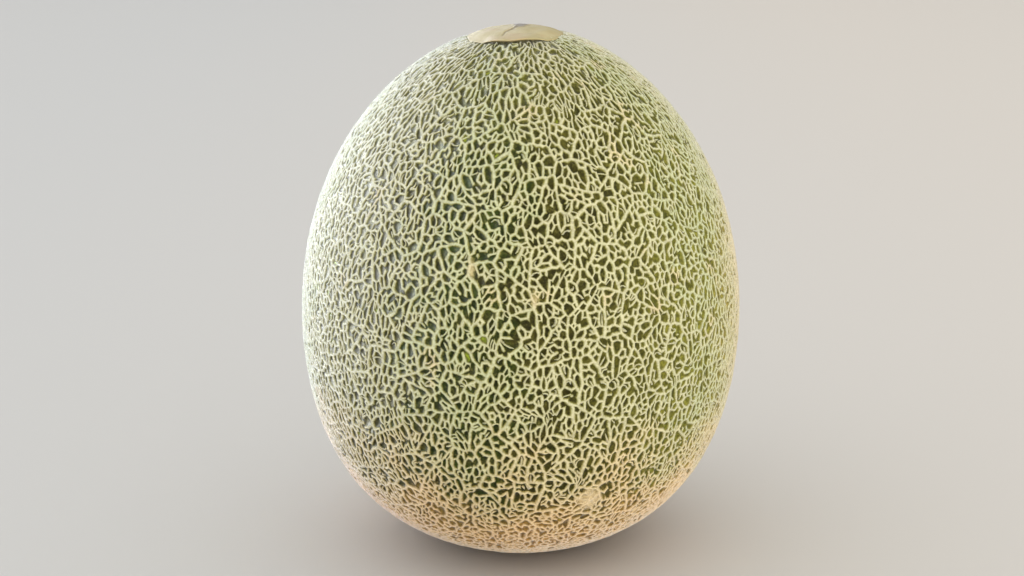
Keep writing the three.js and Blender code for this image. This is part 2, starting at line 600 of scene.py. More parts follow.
        def spot(cut: tuple[int, float]) -> Spot:
            """The flat place of one end of the cut."""
            here, there = flat[cut[0]], flat[(cut[0] + 1) % count]
            return (
                here[0] + (there[0] - here[0]) * cut[1],
                here[1] + (there[1] - here[1]) * cut[1],
            )

        low, high = sorted((first, second))
        half = [spot(low)] + flat[low[0] + 1:high[0] + 1] + ([spot(high)] if high[1] else [])
        if len(half) < 3:
            return False
        share = self.area(half) / self.area(flat)
        return smallest < share < 1 - smallest

    def _corner_at(self, first: int, second: int, share: float) -> int:
        """The corner at a share of the way along a side, which is added if it isn't there yet.

        Args:
            first: The corner at the start of the side.
            second: The corner at its end.
            share: The share of the way along, where 0 is the first corner itself.

        Returns:
            The corner's number.
        """
        if share == 0:
            return first
        new = len(self.places)
        self.places.append(self.places[first].lerp(self.places[second], share))
        self.spokes.append(2)
        for start, end in ((first, second), (second, first)):
            mesh = self.owner.pop((start, end))
            loop = self.loops[mesh]
            loop.insert(loop.index(start) + 1, new)
            self.owner[start, new] = mesh
            self.owner[new, end] = mesh
        age = self.ages.pop(self.side(first, second))
        self.ages[self.side(first, new)] = age
        self.ages[self.side(new, second)] = age
        return new

    def _split(self, mesh: int, first: int, second: int) -> int | None:
        """Splits a mesh along a new thread between two of its corners.

        Args:
            mesh: The mesh.
            first: The corner where the thread starts.
            second: The corner where it ends.

        Returns:
            The number of the new mesh, or None where the two corners are neighbours or joined already.
        """
        loop = self.loops[mesh]
        low, high = sorted((loop.index(first), loop.index(second)))
        if high - low < 2 or low + len(loop) - high < 2:
            return None
        start, end = loop[low], loop[high]
        if self.side(start, end) in self.ages:
            return None
        child = len(self.loops)
        self.loops[mesh] = loop[low:high + 1]
        self.loops.append(loop[high:] + loop[:low + 1])
        level = self.levels[mesh] + 1
        self.levels[mesh] = level
        self.levels.append(level)
        other = self.loops[child]
        for here, there in zip(other, other[1:] + other[:1]):
            self.owner[here, there] = child
        self.owner[end, start] = mesh
        self.owner[start, end] = child
        self.ages[self.side(start, end)] = level
        self.spokes[start] += 1
        self.spokes[end] += 1
        return child

    def _relax(self) -> None:
        """Lets the threads pull on their corners, so that straight cuts become a grown net."""
        sides = np.array(list(self.ages))
        ages = np.array(list(self.ages.values()))
        pull = np.array(self.pulls)[np.minimum(ages, len(self.pulls) - 1)]
        draw = np.random.default_rng(self.seed)
        places = self._sway(np.array(self.places), draw)
        places += draw.normal(0, self.shake, places.shape)
        for _ in range(self.relax_rounds):
            total = np.zeros_like(places)
            weight = np.zeros(len(places))
            for here, there in ((0, 1), (1, 0)):
                np.add.at(total, sides[:, here], places[sides[:, there]] * pull[:, None])
                np.add.at(weight, sides[:, here], pull)
            has = weight > 0
            places[has] += self.relax_share * (total[has] / weight[has, None] - places[has])
        places = self.egg.points(self.egg.directions(places), 0)
        self.places = [Vector(place) for place in places]

    def _sway(self, places: Array, draw: np.random.Generator) -> Array:
        """Bends the net from side to side by a smooth random field, so that no thread runs straight.

        Args:
            places: The corners, one in each row.
            draw: The row of random draws.

        Returns:
            The corners, moved a little.
        """
        moved = np.zeros_like(places)
        for _ in range(self.sway_waves):
            wave = draw.normal(0, 1, 3)
            wave *= 2 * math.pi / self.sway_length / np.linalg.norm(wave)
            push = draw.normal(0, self.sway * math.sqrt(2 / self.sway_waves), 3)
            moved += np.sin(places @ wave + draw.uniform(0, 2 * math.pi))[:, None] * push
        return places + moved

    def _join_near_corners(self) -> None:
        """Makes one corner of each two that nearly touch."""
        stands_for = list(range(len(self.places)))

        def real(corner: int) -> int:
            """The corner that now stands for a corner.

            Args:
                corner: The corner's first number.

            Returns:
                The number that it has now.
            """
            while stands_for[corner] != corner:
                corner = stands_for[corner]
            return corner

        for first, second in self.ages:
            first, second = real(first), real(second)
            if first != second and (self.places[first] - self.places[second]).length < self.shortest_side:
                self.places[first] = (self.places[first] + self.places[second]) / 2
                stands_for[second] = first
        loops, levels = [], []
        for loop, level in zip(self.loops, self.levels):
            renamed = [real(corner) for corner in loop]
            kept = [corner for k, corner in enumerate(renamed) if corner != renamed[k - 1]]
            if len(kept) > 2 and len(set(kept)) == len(kept):
                loops.append(kept)
                levels.append(level)
            elif len(kept) > 2:
                LOG.warning("a mesh of the net pinches itself and is left out")
        self.loops, self.levels = loops, levels
        ages: dict[tuple[int, int], int] = {}
        for (first, second), age in self.ages.items():
            side = self.side(real(first), real(second))
            if side[0] != side[1]:
                ages[side] = min(age, ages.get(side, age))
        self.ages = ages
        self.owner = {
            (first, second): index
            for index, loop in enumerate(self.loops)
            for first, second in zip(loop, loop[1:] + loop[:1])
        }

    def _break_threads(self) -> None:
        """Opens some of the finest threads in the middle, so that each leaves two short spurs."""
        fine = [side for side, age in self.ages.items() if age >= self.broken_from_age]
        for first, second in fine:
            length = (self.places[first] - self.places[second]).length
            if length > self.broken_length and self.draw.random() < self.broken_share:
                self.gaps.add(self._corner_at(first, second, self.draw.uniform(*self.gap_shares)))


@dataclass(frozen=True)
class Gloss:
    """How a finish mirrors light: by itself, and as dust does along its edges."""

    specular: float = 0.3
    sheen: float = 0.0
    sheen_roughness: float = 0.4


@dataclass(frozen=True)
class Cloud:
    """A cloudy pattern: metres from one cloud to the next, its finer layers and how far it is moved."""

    size: float
    detail: float = 2.0
    shift: float = 0.0


@dataclass(frozen=True)
class Ramp:
    """A smooth rise from bottom, where a value is low, to top, where it is high."""

    low: float
    high: float
    bottom: float = 0.0
    top: float = 1.0


class Axis(Enum):
    """The directions that a finish can measure along."""

    ACROSS = "X"
    DEEP = "Y"
    UP = "Z"


class Shader:
    """Builds one node material, step by step."""

    SHIFT_DIRECTION = (1.0, 0.7, -0.4)

    def __init__(self, name: str) -> None:
        """Makes an empty material with a shader and an output.

        Args:
            name: The material's name.
        """
        self.material = bpy.data.materials.new(name)
        self.material.use_nodes = True
        self.tree = self.material.node_tree
        self.tree.nodes.clear()
        self.surface = self.tree.nodes.new("ShaderNodeBsdfPrincipled")
        output = self.tree.nodes.new("ShaderNodeOutputMaterial")
        self.tree.links.new(self.surface.outputs["BSDF"], output.inputs["Surface"])
        self.place = self.tree.nodes.new("ShaderNodeTexCoord").outputs["Object"]

    def _feed(self, socket: Socket, source: Socket | float | Colour) -> None:
        """Links a socket to another, or sets its value.

        Args:
            socket: The socket to feed.
            source: Another socket, or the value.
        """
        if isinstance(source, bpy.types.NodeSocket):
            self.tree.links.new(source, socket)
        else:
            socket.default_value = source

    def attribute(self, name: str) -> Socket:
        """A value kept on the mesh's points.

        Args:
            name: The value's name.

        Returns:
            The value.
        """
        node = self.tree.nodes.new("ShaderNodeAttribute")
        node.attribute_name = name
        return node.outputs["Fac"]

    def noise(self, cloud: Cloud) -> Socket:
        """A cloudy pattern.

        Args:
            cloud: Its size, detail and shift.

        Returns:
            A value from 0 to 1, mostly near 0.5.
        """
        mapping = self.tree.nodes.new("ShaderNodeMapping")
        mapping.inputs["Location"].default_value = [cloud.shift * part for part in self.SHIFT_DIRECTION]
        mapping.inputs["Scale"].default_value = [1 / cloud.size] * 3
        self.tree.links.new(self.place, mapping.inputs["Vector"])
        node = self.tree.nodes.new("ShaderNodeTexNoise")
        node.inputs["Scale"].default_value = 1.0
        node.inputs["Detail"].default_value = cloud.detail
        self.tree.links.new(mapping.outputs["Vector"], node.inputs["Vector"])
        return node.outputs["Fac"]

    def swing(self, cloud: Cloud, width: float) -> Socket:
        """A cloudy pattern that swings to both sides of 0, and has this width in all."""
        return self.times(self.math("SUBTRACT", self.noise(cloud), 0.5), width)

    def along(self, axis: Axis) -> Socket:
        """How far a place is from the origin along an axis, in metres.

        Args:
            axis: The axis.

        Returns:
            The distance.
        """
        node = self.tree.nodes.new("ShaderNodeSeparateXYZ")
        self.tree.links.new(self.place, node.inputs["Vector"])
        return node.outputs[axis.value]

    def azimuth(self) -> Socket:
        """The angle round the upright axis, in radians."""
        return self.math("ARCTAN2", self.along(Axis.DEEP), self.along(Axis.ACROSS))

    def outward(self) -> Socket:
        """How far a place is from the upright axis.

        Returns:
            The distance, in metres.
        """
        node = self.tree.nodes.new("ShaderNodeVectorMath")
        node.operation = "LENGTH"
        flat = self.tree.nodes.new("ShaderNodeVectorMath")
        flat.operation = "MULTIPLY"
        flat.inputs[1].default_value = (1, 1, 0)
        self.tree.links.new(self.place, flat.inputs[0])
        self.tree.links.new(flat.outputs["Vector"], node.inputs[0])
        return node.outputs["Value"]

    def math(self, kind: str, first: Socket | float, second: Socket | float = 0.0) -> Socket:
        """Works out one value from one or two others.

        Args:
            kind: The name of the node's operation.
            first: The first value.
            second: The second value, where the operation takes two.

        Returns:
            The result.
        """
        node = self.tree.nodes.new("ShaderNodeMath")
        node.operation = kind
        self._feed(node.inputs[0], first)
        self._feed(node.inputs[1], second)
        return node.outputs["Value"]

    def add(self, first: Socket | float, second: Socket | float) -> Socket:
        """The sum of two values."""
        return self.math("ADD", first, second)

    def times(self, first: Socket | float, second: Socket | float) -> Socket:
        """The product of two values."""
        return self.math("MULTIPLY", first, second)

    def larger(self, first: Socket | float, second: Socket | float) -> Socket:
        """The larger of two values."""
        return self.math("MAXIMUM", first, second)

    def band(self, source: Socket, ramp: Ramp) -> Socket:
        """Sends a value through a ramp.

        Args:
            source: The value.
            ramp: Where it rises, and from what to what.

        Returns:
            The ramp's value.
        """
        node = self.tree.nodes.new("ShaderNodeMapRange")
        node.interpolation_type = "SMOOTHSTEP"
        self._feed(node.inputs["Value"], source)
        node.inputs["From Min"].default_value = ramp.low
        node.inputs["From Max"].default_value = ramp.high
        node.inputs["To Min"].default_value = ramp.bottom
        node.inputs["To Max"].default_value = ramp.top
        return node.outputs["Result"]

    def blend(self, share: Socket | float, first: Socket | Colour, second: Socket | Colour) -> Socket:
        """Goes from one colour to another.

        Args:
            share: 0 for the first colour, 1 for the second, or between them.
            first: The first colour.
            second: The second colour.

        Returns:
            The blended colour.
        """
        node = self.tree.nodes.new("ShaderNodeMix")
        node.data_type = "RGBA"
        self._feed(node.inputs["Factor"], share)
        self._feed(node.inputs[FIRST_COLOUR], first)
        self._feed(node.inputs[SECOND_COLOUR], second)
        return node.outputs[MIXED_COLOUR]

    def shade(self, colour: Socket, factor: Socket) -> Socket:
        """Makes a colour darker or lighter.

        Args:
            colour: The colour.
            factor: Less than 1 for darker, more for lighter.

        Returns:
            The shaded colour.
        """
        node = self.tree.nodes.new("ShaderNodeVectorMath")
        node.operation = "SCALE"
        self._feed(node.inputs[0], colour)
        self._feed(node.inputs["Scale"], factor)
        return node.outputs["Vector"]

    def finish(
        self, colour: Socket, roughness: Socket | float, relief: Socket, depth: float, gloss: Gloss
    ) -> bpy.types.Material:
        """Feeds the shader and gives the material back.

        Args:
            colour: The surface's colour.
            roughness: How matt it is.
            relief: The fine relief, from 0 to 1.
            depth: How deep that relief is, in metres.
            gloss: How it mirrors light.

        Returns:
            The finished material.
        """
        bump = self.tree.nodes.new("ShaderNodeBump")
        bump.inputs["Strength"].default_value = 1.0
        bump.inputs["Distance"].default_value = depth
        self.tree.links.new(relief, bump.inputs["Height"])
        self.tree.links.new(bump.outputs["Normal"], self.surface.inputs["Normal"])
        self._feed(self.surface.inputs["Base Color"], colour)
        self._feed(self.surface.inputs["Roughness"], roughness)
        self.surface.inputs["Specular IOR Level"].default_value = gloss.specular
        self.surface.inputs["Sheen Weight"].default_value = gloss.sheen
        self.surface.inputs["Sheen Roughness"].default_value = gloss.sheen_roughness
        return self.material


@dataclass(frozen=True)
class RindFinish:
    """The netted rind: satin green and olive skin below matt cream and tan threads."""

    skin_green: Colour = srgb(34, 46, 2)
    skin_olive: Colour = srgb(48, 44, 2)
    skin_pale: Colour = srgb(92, 104, 10)
    skin_yellow_olive: Colour = srgb(104, 102, 34)
    skin_brown: Colour = srgb(144, 108, 52)
    thread_cream: Colour = srgb(185, 181, 147)
    thread_green: Colour = srgb(176, 179, 141)
    thread_tan: Colour = srgb(216, 184, 142)
    # Painted shade: the darker colours of the threads' flanks; the tan one also paints warm light on the skin
    # along the right rim.
    shaded_flank_olive: Colour = srgb(124, 120, 56)
    shaded_flank_tan: Colour = srgb(164, 130, 80)
    scab_tan: Colour = srgb(200, 178, 142)
    thread_edge: Ramp = Ramp(-0.02, 0.40)
    # Painted shade: where along a thread's slope the darker flank gives way to the pale crest.
    flank_shade_edge: Ramp = Ramp(0.25, 0.80)
    fine_edge: Cloud = Cloud(0.0006, 2.0, 5.0)
    fine_width: float = 0.5
    broad_edge: Cloud = Cloud(0.0018, 1.0, 2.0)
    broad_width: float = 0.4
    green_bands: float = 5.0
    band_phase: float = 9.2
    band_clouds: Cloud = Cloud(0.05, 2.0, 3.0)
    band_sway: float = 3.0
    break_clouds: Cloud = Cloud(0.006, 2.0, 11.0)
    break_width: float = 5.0
    green_edge: Ramp = Ramp(-0.6, 1.6)
    uneven_clouds: Cloud = Cloud(0.02, 2.0, 6.0)
    uneven_height: float = 0.05
    # Lower down the threads turn tan and the skin brown: partly the rind's own colour and partly painted warm
    # light from below.
    tan_threads: Ramp = Ramp(0.010, 0.070, 1.0, 0.0)
    brown_skin: Ramp = Ramp(0.004, 0.046, 1.0, 0.0)
    paler_right: Ramp = Ramp(0.010, 0.074)
    paler_top: Ramp = Ramp(0.135, 0.185, 0.0, 0.55)
    most_pale: float = 0.9
    # Painted warm light: from where to where across the right rim skin and threads turn tan.
    warm_rim_light: Ramp = Ramp(0.060, 0.077, 0.0, 0.4)
    pale_meshes: Ramp = Ramp(0.988, 0.994)
    mesh_shade: Ramp = Ramp(0.2, 1.0, 0.80, 1.35)
    skin_clouds: Cloud = Cloud(0.0011, 1.0, 7.0)
    skin_shade: Ramp = Ramp(0.35, 0.7, 0.7, 1.5)
    warm_clouds: Cloud = Cloud(0.012, 1.0, 9.0)
    warm_patches: Ramp = Ramp(0.62, 0.76, 0.0, 0.35)
    cork_clouds: Cloud = Cloud(0.0008, 2.0, 4.0)
    cork_shade: Ramp = Ramp(0.34, 0.58, 0.80, 1.05)
    skin_roughness: float = 0.64
    thread_roughness: float = 0.82
    grain: Cloud = Cloud(0.0005, 3.0)
    grain_depth: float = 0.00035
    skin_grain: float = 0.25
    gloss: Gloss = Gloss(0.35, 0.55, 0.3)

    def make(self) -> bpy.types.Material:
        """Makes the material.

        Returns:
            The finished material.
        """
        sheet = Shader("netted_rind")
        crest = self._crest(sheet)
        thread = sheet.band(crest, self.thread_edge)
        height = sheet.add(sheet.along(Axis.UP), sheet.swing(self.uneven_clouds, self.uneven_height))
        green = self._green_share(sheet)
        skin = self._skin(sheet, green, sheet.band(height, self.brown_skin))
        cork = self._cork(sheet, green, sheet.band(height, self.tan_threads), crest)
        roughness = sheet.band(thread, Ramp(0.0, 1.0, self.skin_roughness, self.thread_roughness))
        strength = sheet.band(thread, Ramp(0.0, 1.0, self.skin_grain, 1.0))
        grain = sheet.times(sheet.noise(self.grain), strength)
        return sheet.finish(sheet.blend(thread, skin, cork), roughness, grain, self.grain_depth, self.gloss)

    def _crest(self, sheet: Shader) -> Socket:
        """Measures how near a place is to a thread's crest, with a slightly rough edge.

        Args:
            sheet: The material being made.

        Returns:
            About 0 at a thread's foot and on the skin, and 1 on its crest and on a scab.
        """
        fine = sheet.swing(self.fine_edge, self.fine_width)
        broad = sheet.swing(self.broad_edge, self.broad_width)
        crest = sheet.larger(sheet.attribute("crest"), sheet.attribute("scab"))
        return sheet.add(crest, sheet.add(fine, broad))

    def _green_share(self, sheet: Shader) -> Socket:
        """Lays broken green bands from end to end of the fruit.

        Args:
            sheet: The material being made.

        Returns:
            1 in the green bands, and 0 in the olive ones between them.
        """
        sway = sheet.times(sheet.noise(self.band_clouds), self.band_sway)
        turn = sheet.times(sheet.azimuth(), self.green_bands)
        wave = sheet.math("SINE", sheet.add(turn, sheet.add(sway, self.band_phase)))
        return sheet.band(sheet.add(wave, sheet.swing(self.break_clouds, self.break_width)), self.green_edge)

    def _skin(self, sheet: Shader, green: Socket, low: Socket) -> Socket:
        """Colours the skin at the bottom of the meshes, each of which has a tone of its own.

        Args:
            sheet: The material being made.
            green: 1 in the green bands.
            low: 1 at the lower end of the fruit, where the skin is brown, partly its own colour and partly
                painted warm light from below.

        Returns:
            The skin's colour.
        """
        tone = sheet.attribute("tone")
        skin = sheet.blend(green, self.skin_olive, self.skin_green)
        skin = sheet.blend(sheet.band(tone, self.pale_meshes), skin, self.skin_pale)
        skin = sheet.blend(self._paler_share(sheet), skin, self.skin_yellow_olive)
        # Brown low down: partly the skin's own colour and partly painted warm light from below.
        skin = sheet.blend(low, skin, self.skin_brown)
        # Painted warm light: the skin turns tan along the right rim.
        skin = sheet.blend(self._warm_rim_light_share(sheet), skin, self.shaded_flank_tan)
        cloud = sheet.band(sheet.noise(self.skin_clouds), self.skin_shade)
        return sheet.shade(skin, sheet.times(cloud, sheet.band(tone, self.mesh_shade)))

    def _paler_share(self, sheet: Shader) -> Socket:
        """Says how pale and yellow the skin is: most on the right half and at the top.

        Args:
            sheet: The material being made.

        Returns:
            0 for the usual skin, rising as it turns paler and yellower.
        """
        right_side = sheet.band(sheet.along(Axis.ACROSS), self.paler_right)
        upper = sheet.band(sheet.along(Axis.UP), self.paler_top)
        return sheet.times(sheet.larger(right_side, upper), self.most_pale)

    def _warm_rim_light_share(self, sheet: Shader) -> Socket:
        """How far a place is along the right rim, where skin and threads turn tan as painted warm light."""
        return sheet.band(sheet.along(Axis.ACROSS), self.warm_rim_light)

    def _cork(self, sheet: Shader, green: Socket, low: Socket, crest: Socket) -> Socket:
        """Colours the threads: mottled, with painted shade that darkens their flanks below the paler crests,
        and tan.

        The tan comes in random patches; low down, where it is partly the cork's own colour and partly painted
        warm light; and along the right rim, where it is painted warm light.

        Args:
            sheet: The material being made.
            green: 1 in the green bands.
            low: 1 at the lower end of the fruit, where the threads are tan, partly their own colour and
                partly painted warm light from below.
            crest: 1 on a thread's crest.

        Returns:
            The threads' colour.
        """
        cork = sheet.blend(green, self.thread_cream, self.thread_green)
        patches = sheet.band(sheet.noise(self.warm_clouds), self.warm_patches)
        # Tan threads: random patches, partly painted warm light low down, and painted warm light along the
        # right rim.
        warm = sheet.larger(sheet.larger(low, patches), self._warm_rim_light_share(sheet))
        cork = sheet.blend(warm, cork, self.thread_tan)
        # Painted shade: the flanks of the threads are darker, olive or tan low down, and only the crests keep
        # the pale cork colour.
        shaded_flank = sheet.blend(low, self.shaded_flank_olive, self.shaded_flank_tan)
        cork = sheet.blend(sheet.band(crest, self.flank_shade_edge), shaded_flank, cork)
        cork = sheet.blend(sheet.attribute("scab"), cork, self.scab_tan)
        return sheet.shade(cork, sheet.band(sheet.noise(self.cork_clouds), self.cork_shade))


@dataclass(frozen=True)
class PlateFinish:
    """The scar plate: smooth matt tan cork with a grey-brown spot, a crack and a few faint marks."""

    tan: Colour = srgb(162, 149, 106)
    pale: Colour = srgb(172, 160, 122)
    rose: Colour = srgb(170, 148, 114)
    spot: Colour = srgb(128, 120, 106)
    crack: Colour = srgb(128, 117, 90)
    pale_clouds: Cloud = Cloud(0.009, 3.0, 1.0)
    pale_edge: Ramp = Ramp(0.35, 0.65)
    rose_clouds: Cloud = Cloud(0.006, 2.0, 5.0)
    rose_edge: Ramp = Ramp(0.50, 0.66, 0.0, 0.5)
    roughness: float = 0.8
    grain: Cloud = Cloud(0.0012, 4.0)
    grain_depth: float = 0.00015

    def make(self) -> bpy.types.Material:
        """Makes the material.

        Returns:
            The finished material.
        """
        sheet = Shader("corky_scar")
        colour = sheet.blend(sheet.band(sheet.noise(self.pale_clouds), self.pale_edge), self.tan, self.pale)
        colour = sheet.blend(sheet.band(sheet.noise(self.rose_clouds), self.rose_edge), colour, self.rose)
        colour = sheet.blend(sheet.attribute("spot"), colour, self.spot)
        colour = sheet.blend(sheet.attribute("crack"), colour, self.crack)
        return sheet.finish(colour, self.roughness, sheet.noise(self.grain), self.grain_depth, Gloss())


@dataclass(frozen=True)
class ScarFinish:
    """The stem scar: dry brown cork, darker towards its rim."""

    middle: Colour = srgb(176, 158, 118)
    rim: Colour = srgb(120, 98, 66)
    rim_edge: Ramp = Ramp(0.002, 0.006)
    clouds: Cloud = Cloud(0.0008, 3.0)
    cloud_shade: Ramp = Ramp(0.35, 0.65, 0.7, 1.1)
    roughness: float = 0.85
    grain: Cloud = Cloud(0.0005, 4.0)
    grain_depth: float = 0.0002

    def make(self) -> bpy.types.Material:
        """Makes the material.

        Returns:
            The finished material.
        """
        sheet = Shader("stem_scar")
        colour = sheet.blend(sheet.band(sheet.outward(), self.rim_edge), self.middle, self.rim)
        colour = sheet.shade(colour, sheet.band(sheet.noise(self.clouds), self.cloud_shade))
        return sheet.finish(colour, self.roughness, sheet.noise(self.grain), self.grain_depth, Gloss())


@dataclass(frozen=True)
class FloorFinish:
    """The plain pale floor and wall, with painted light: cooler grey on the left and a lighter, warmer grey
    on the right.
    """

    cool: Colour = srgb(214, 214, 214)
    warm: Colour = srgb(224, 218, 211)
    light_tint: Ramp = Ramp(-0.5, 0.5)
    roughness: float = 0.9
    grain: Cloud = Cloud(0.01, 2.0)
    grain_depth: float = 0.00005
    gloss: Gloss = Gloss(0.1)

    def make(self) -> bpy.types.Material:
        """Makes the material.

        Returns:
            The finished material.
        """
        sheet = Shader("backdrop")
        # Painted light: the colour turns from cool on the left to lighter and warm on the right.
        colour = sheet.blend(sheet.band(sheet.along(Axis.ACROSS), self.light_tint), self.cool, self.warm)
        return sheet.finish(colour, self.roughness, sheet.noise(self.grain), self.grain_depth, self.gloss)


@dataclass(frozen=True)
class Crack:
    """A thin groove on the plate, along a path that narrows to its end."""

    path: tuple[tuple[float, float], ...]
    start_half_width: float
    end_half_width: float
    strength: float = 1.0
    edge: Range = (0.35, 1.3)

    def share(self, flat: Array) -> Array:
        """How deep in the groove places are.

        Args:
            flat: Places on the plate, seen from above, one in each row.

        Returns:
            The groove's strength in it, and 0 away from it.
        """
        share = np.zeros(len(flat))
        steps = len(self.path) - 1
        for number, (start, end) in enumerate(zip(self.path, self.path[1:])):
            origin = np.array(start)
            along = np.array(end) - origin
            part = np.clip((flat - origin) @ along / (along @ along), 0, 1)
            away = np.linalg.norm(flat - origin - part[:, None] * along, axis=1)
            narrowing = (number + part) / steps
            half = self.start_half_width + (self.end_half_width - self.start_half_width) * narrowing
            share = np.maximum(share, self.strength * (1 - smooth_step(away / half, *self.edge)))
        return share


@dataclass
class ScarPlate:
    """The smooth corky plate on top, which follows the egg and lifts off it along its front edge.

    Attributes:
        squareness: 2 for an oval plate, and more for a squarer one.
        shift_x: How far its middle is to the right of the fruit's.
        shift_y: How far its middle is behind the fruit's.
        edge_waves: The waves along its edge.
        covered: How far out it hides the net, on the squareness scale, where 1 is its edge.
        lowest_share: Below this share of the fruit's length it covers nothing.
        rise: How high its top is over the crests of the net.
        lip: How thick its edge is.
        edge_lift: How much higher the front edge is.
        side_rise: How high the other edges are over the crests.
        front_edge: Where along the edge the lift starts and where it is full.
        rim_start: How far out the top turns down to its edge.
        top_end: How far out the top goes.
        skirt: Each ring round the edge: how far out it is, and how many lips below the rim.
        root_share: How far out the plate's root is.
        groove: Half the width of the bare groove round the plate, whose dark skin is partly painted shadow
            under its lip.
        ripple_waves: How close its low ripples are, across and from front to back.
        spot_edge: Where the grey-brown spot starts to fade and where it ends.
        cracks: The crack and the faint marks.
    """

    egg: Egg
    half_width: float = 0.0164
    half_depth: float = 0.0176
    squareness: float = 2.35
    shift_x: float = -0.0020
    shift_y: float = -0.0014
    edge_waves: tuple[Wave, ...] = (Wave(0.012, 7, 1.0), Wave(0.008, 13, 4.0))
    covered: float = 0.45
    lowest_share: float = 0.8
    rise: float = 0.0003
    lip: float = 0.00036
    edge_lift: float = 0.0005
    side_rise: float = -0.0003
    front_edge: Range = (0.76, 0.94)
    rim_start: float = 0.62
    top_end: float = 0.985
    skirt: tuple[Spot, ...] = ((1.0, 0.45), (0.99, 1.0), (0.90, 0.9))
    root_share: float = 0.87
    root: float = 0.0022
    groove: float = 0.0004
    rings: int = 72
    sides: int = 220
    ripple: float = 0.00007
    ripple_waves: Range = (900.0, 700.0)
    ripple_starts: Range = (1.0, 2.0)
    spot: Spot = (-0.0003, -0.0022)
    spot_size: Range = (0.0030, 0.0044)
    spot_waves: tuple[Wave, ...] = (Wave(0.18, 3, 1.0), Wave(0.12, 5))
    spot_edge: Range = (0.55, 1.1)
    spot_rise: float = 0.00035
    crack_depth: float = 0.0002
    cracks: tuple[Crack, ...] = (
        Crack(
            ((-0.0012, -0.0050), (-0.0032, -0.0080), (-0.0050, -0.0104), (-0.0060, -0.0140)),
            0.00075,
            0.00025,
        ),
        Crack(((0.0120, -0.0098), (0.0131, -0.0090), (0.0139, -0.0074), (0.0136, -0.0060)), 0.00022, 0.00022),
        Crack(((-0.0012, -0.0130), (0.0004, -0.0133)), 0.00018, 0.00012, 0.4),
        Crack(((0.0022, -0.0134), (0.0040, -0.0131)), 0.00022, 0.00012, 0.4),
        Crack(((0.0052, -0.0129), (0.0060, -0.0130)), 0.00016, 0.00010, 0.35),
    )

    def covers(self, place: Vector) -> bool:
        """Says whether a place on the egg is well under the plate.

        Args:
            place: A place on the egg.

        Returns:
            True where no finer net is needed.
        """
        if place.z < self.egg.length * self.lowest_share:
            return False
        east = abs(place.x - self.shift_x) / self.half_width
        north = abs(place.y - self.shift_y) / self.half_depth
        return east**self.squareness + north**self.squareness < self.covered

    def _angles(self) -> Array:
        """The angle of each point of a ring."""
        return np.arange(self.sides) * 2 * math.pi / self.sides

    def _reach(self, angles: Array) -> Array:
        """How far the edge is from the middle at each angle.

        Args:
            angles: The angles round the plate's middle.

        Returns:
            The distances.
        """
        across = np.abs(np.cos(angles) / self.half_width) ** self.squareness
        deep = np.abs(np.sin(angles) / self.half_depth) ** self.squareness
        return wavy(angles, self.edge_waves) / (across + deep) ** (1 / self.squareness)

    def _ring(self, share: float, height: Array | float) -> Array:
        """One ring of points at a share of the way to the edge.

        Args:
            share: The share.
            height: The points' heights over the egg.

        Returns:
            Points, one in each row.
        """
        angles = self._angles()
        x = self.shift_x + share * self._reach(angles) * np.cos(angles)
        y = self.shift_y + share * self._reach(angles) * np.sin(angles)
        return self._on_cap(x, y, height)

    def _on_cap(self, x: Array, y: Array, height: Array | float) -> Array:
        """Points over the top of the egg.

        Args:
            x: How far right each point is.
            y: How far back each point is.
            height: The points' heights over the egg.

        Returns:
            Points, one in each row.
        """
        ball = self.egg.radius * self.egg.share(1.0)
        level = np.sqrt(1 - (x / ball) ** 2 - (y / ball) ** 2)
        return self.egg.points(np.stack([x / ball, y / ball, level], 1), height)

    def _front(self) -> Array:
        """1 along the front edge, which is lifted, and 0 along the back edge."""
        return smooth_step(-np.sin(self._angles()), *self.front_edge)

    def groove_shadow_share(self, points: Array) -> Array:
        """How bare of net places are: 1 under the plate and in the groove along its edge, whose bare dark
        skin is partly painted shadow under the lifted lip.

        Args:
            points: Points on the egg, one in each row.

        Returns:
            One share from 0 to 1 for each point.
        """
        east = points[:, 0] - self.shift_x
        north = points[:, 1] - self.shift_y
        outward = np.hypot(east, north) - self._reach(np.arctan2(north, east))
        upper = points[:, 2] > self.egg.length / 2
        return upper * (1 - smooth_step(outward, -self.groove, self.groove))

    def _edge_height(self) -> Array:
        """The height of the plate's rim over the crests: lifted in front, and down to the net elsewhere."""
        front = self._front()
        return self.side_rise + (self.rise + self.edge_lift - self.side_rise) * front

    def _top_height(self, points: Array, share: float) -> Array:
        """The height of the top of the plate over the egg.

        Args:
            points: One ring of points on the egg.
            share: How far out the ring is, as a share of the way to the edge.

        Returns:
            One height for each point.
        """
        rim = smooth_step(np.full(self.sides, share), self.rim_start, 1.0)
        height = self.rise + (self._edge_height() - self.rise) * rim
        across, deep = np.sin(points[:, :2] * self.ripple_waves + self.ripple_starts).T
        spot = self.spot_rise * self._spot_share(points)
        return height + self.ripple * across * deep + spot - self.crack_depth * self._crack_share(points)

    def _spot_share(self, points: Array) -> Array:
        """1 in the grey-brown spot and 0 outside it.

        Args:
            points: Points on the plate, one in each row.

        Returns:
            One share for each point.
        """
        across = (points[:, 0] - self.spot[0]) / self.spot_size[0]
        deep = (points[:, 1] - self.spot[1]) / self.spot_size[1]
        uneven = wavy(np.arctan2(deep, across), self.spot_waves)
        return 1 - smooth_step(np.hypot(across, deep) / uneven, *self.spot_edge)

    def _crack_share(self, points: Array) -> Array:
        """1 in the cracks and 0 away from them."""
        return np.max([crack.share(points[:, :2]) for crack in self.cracks], axis=0)

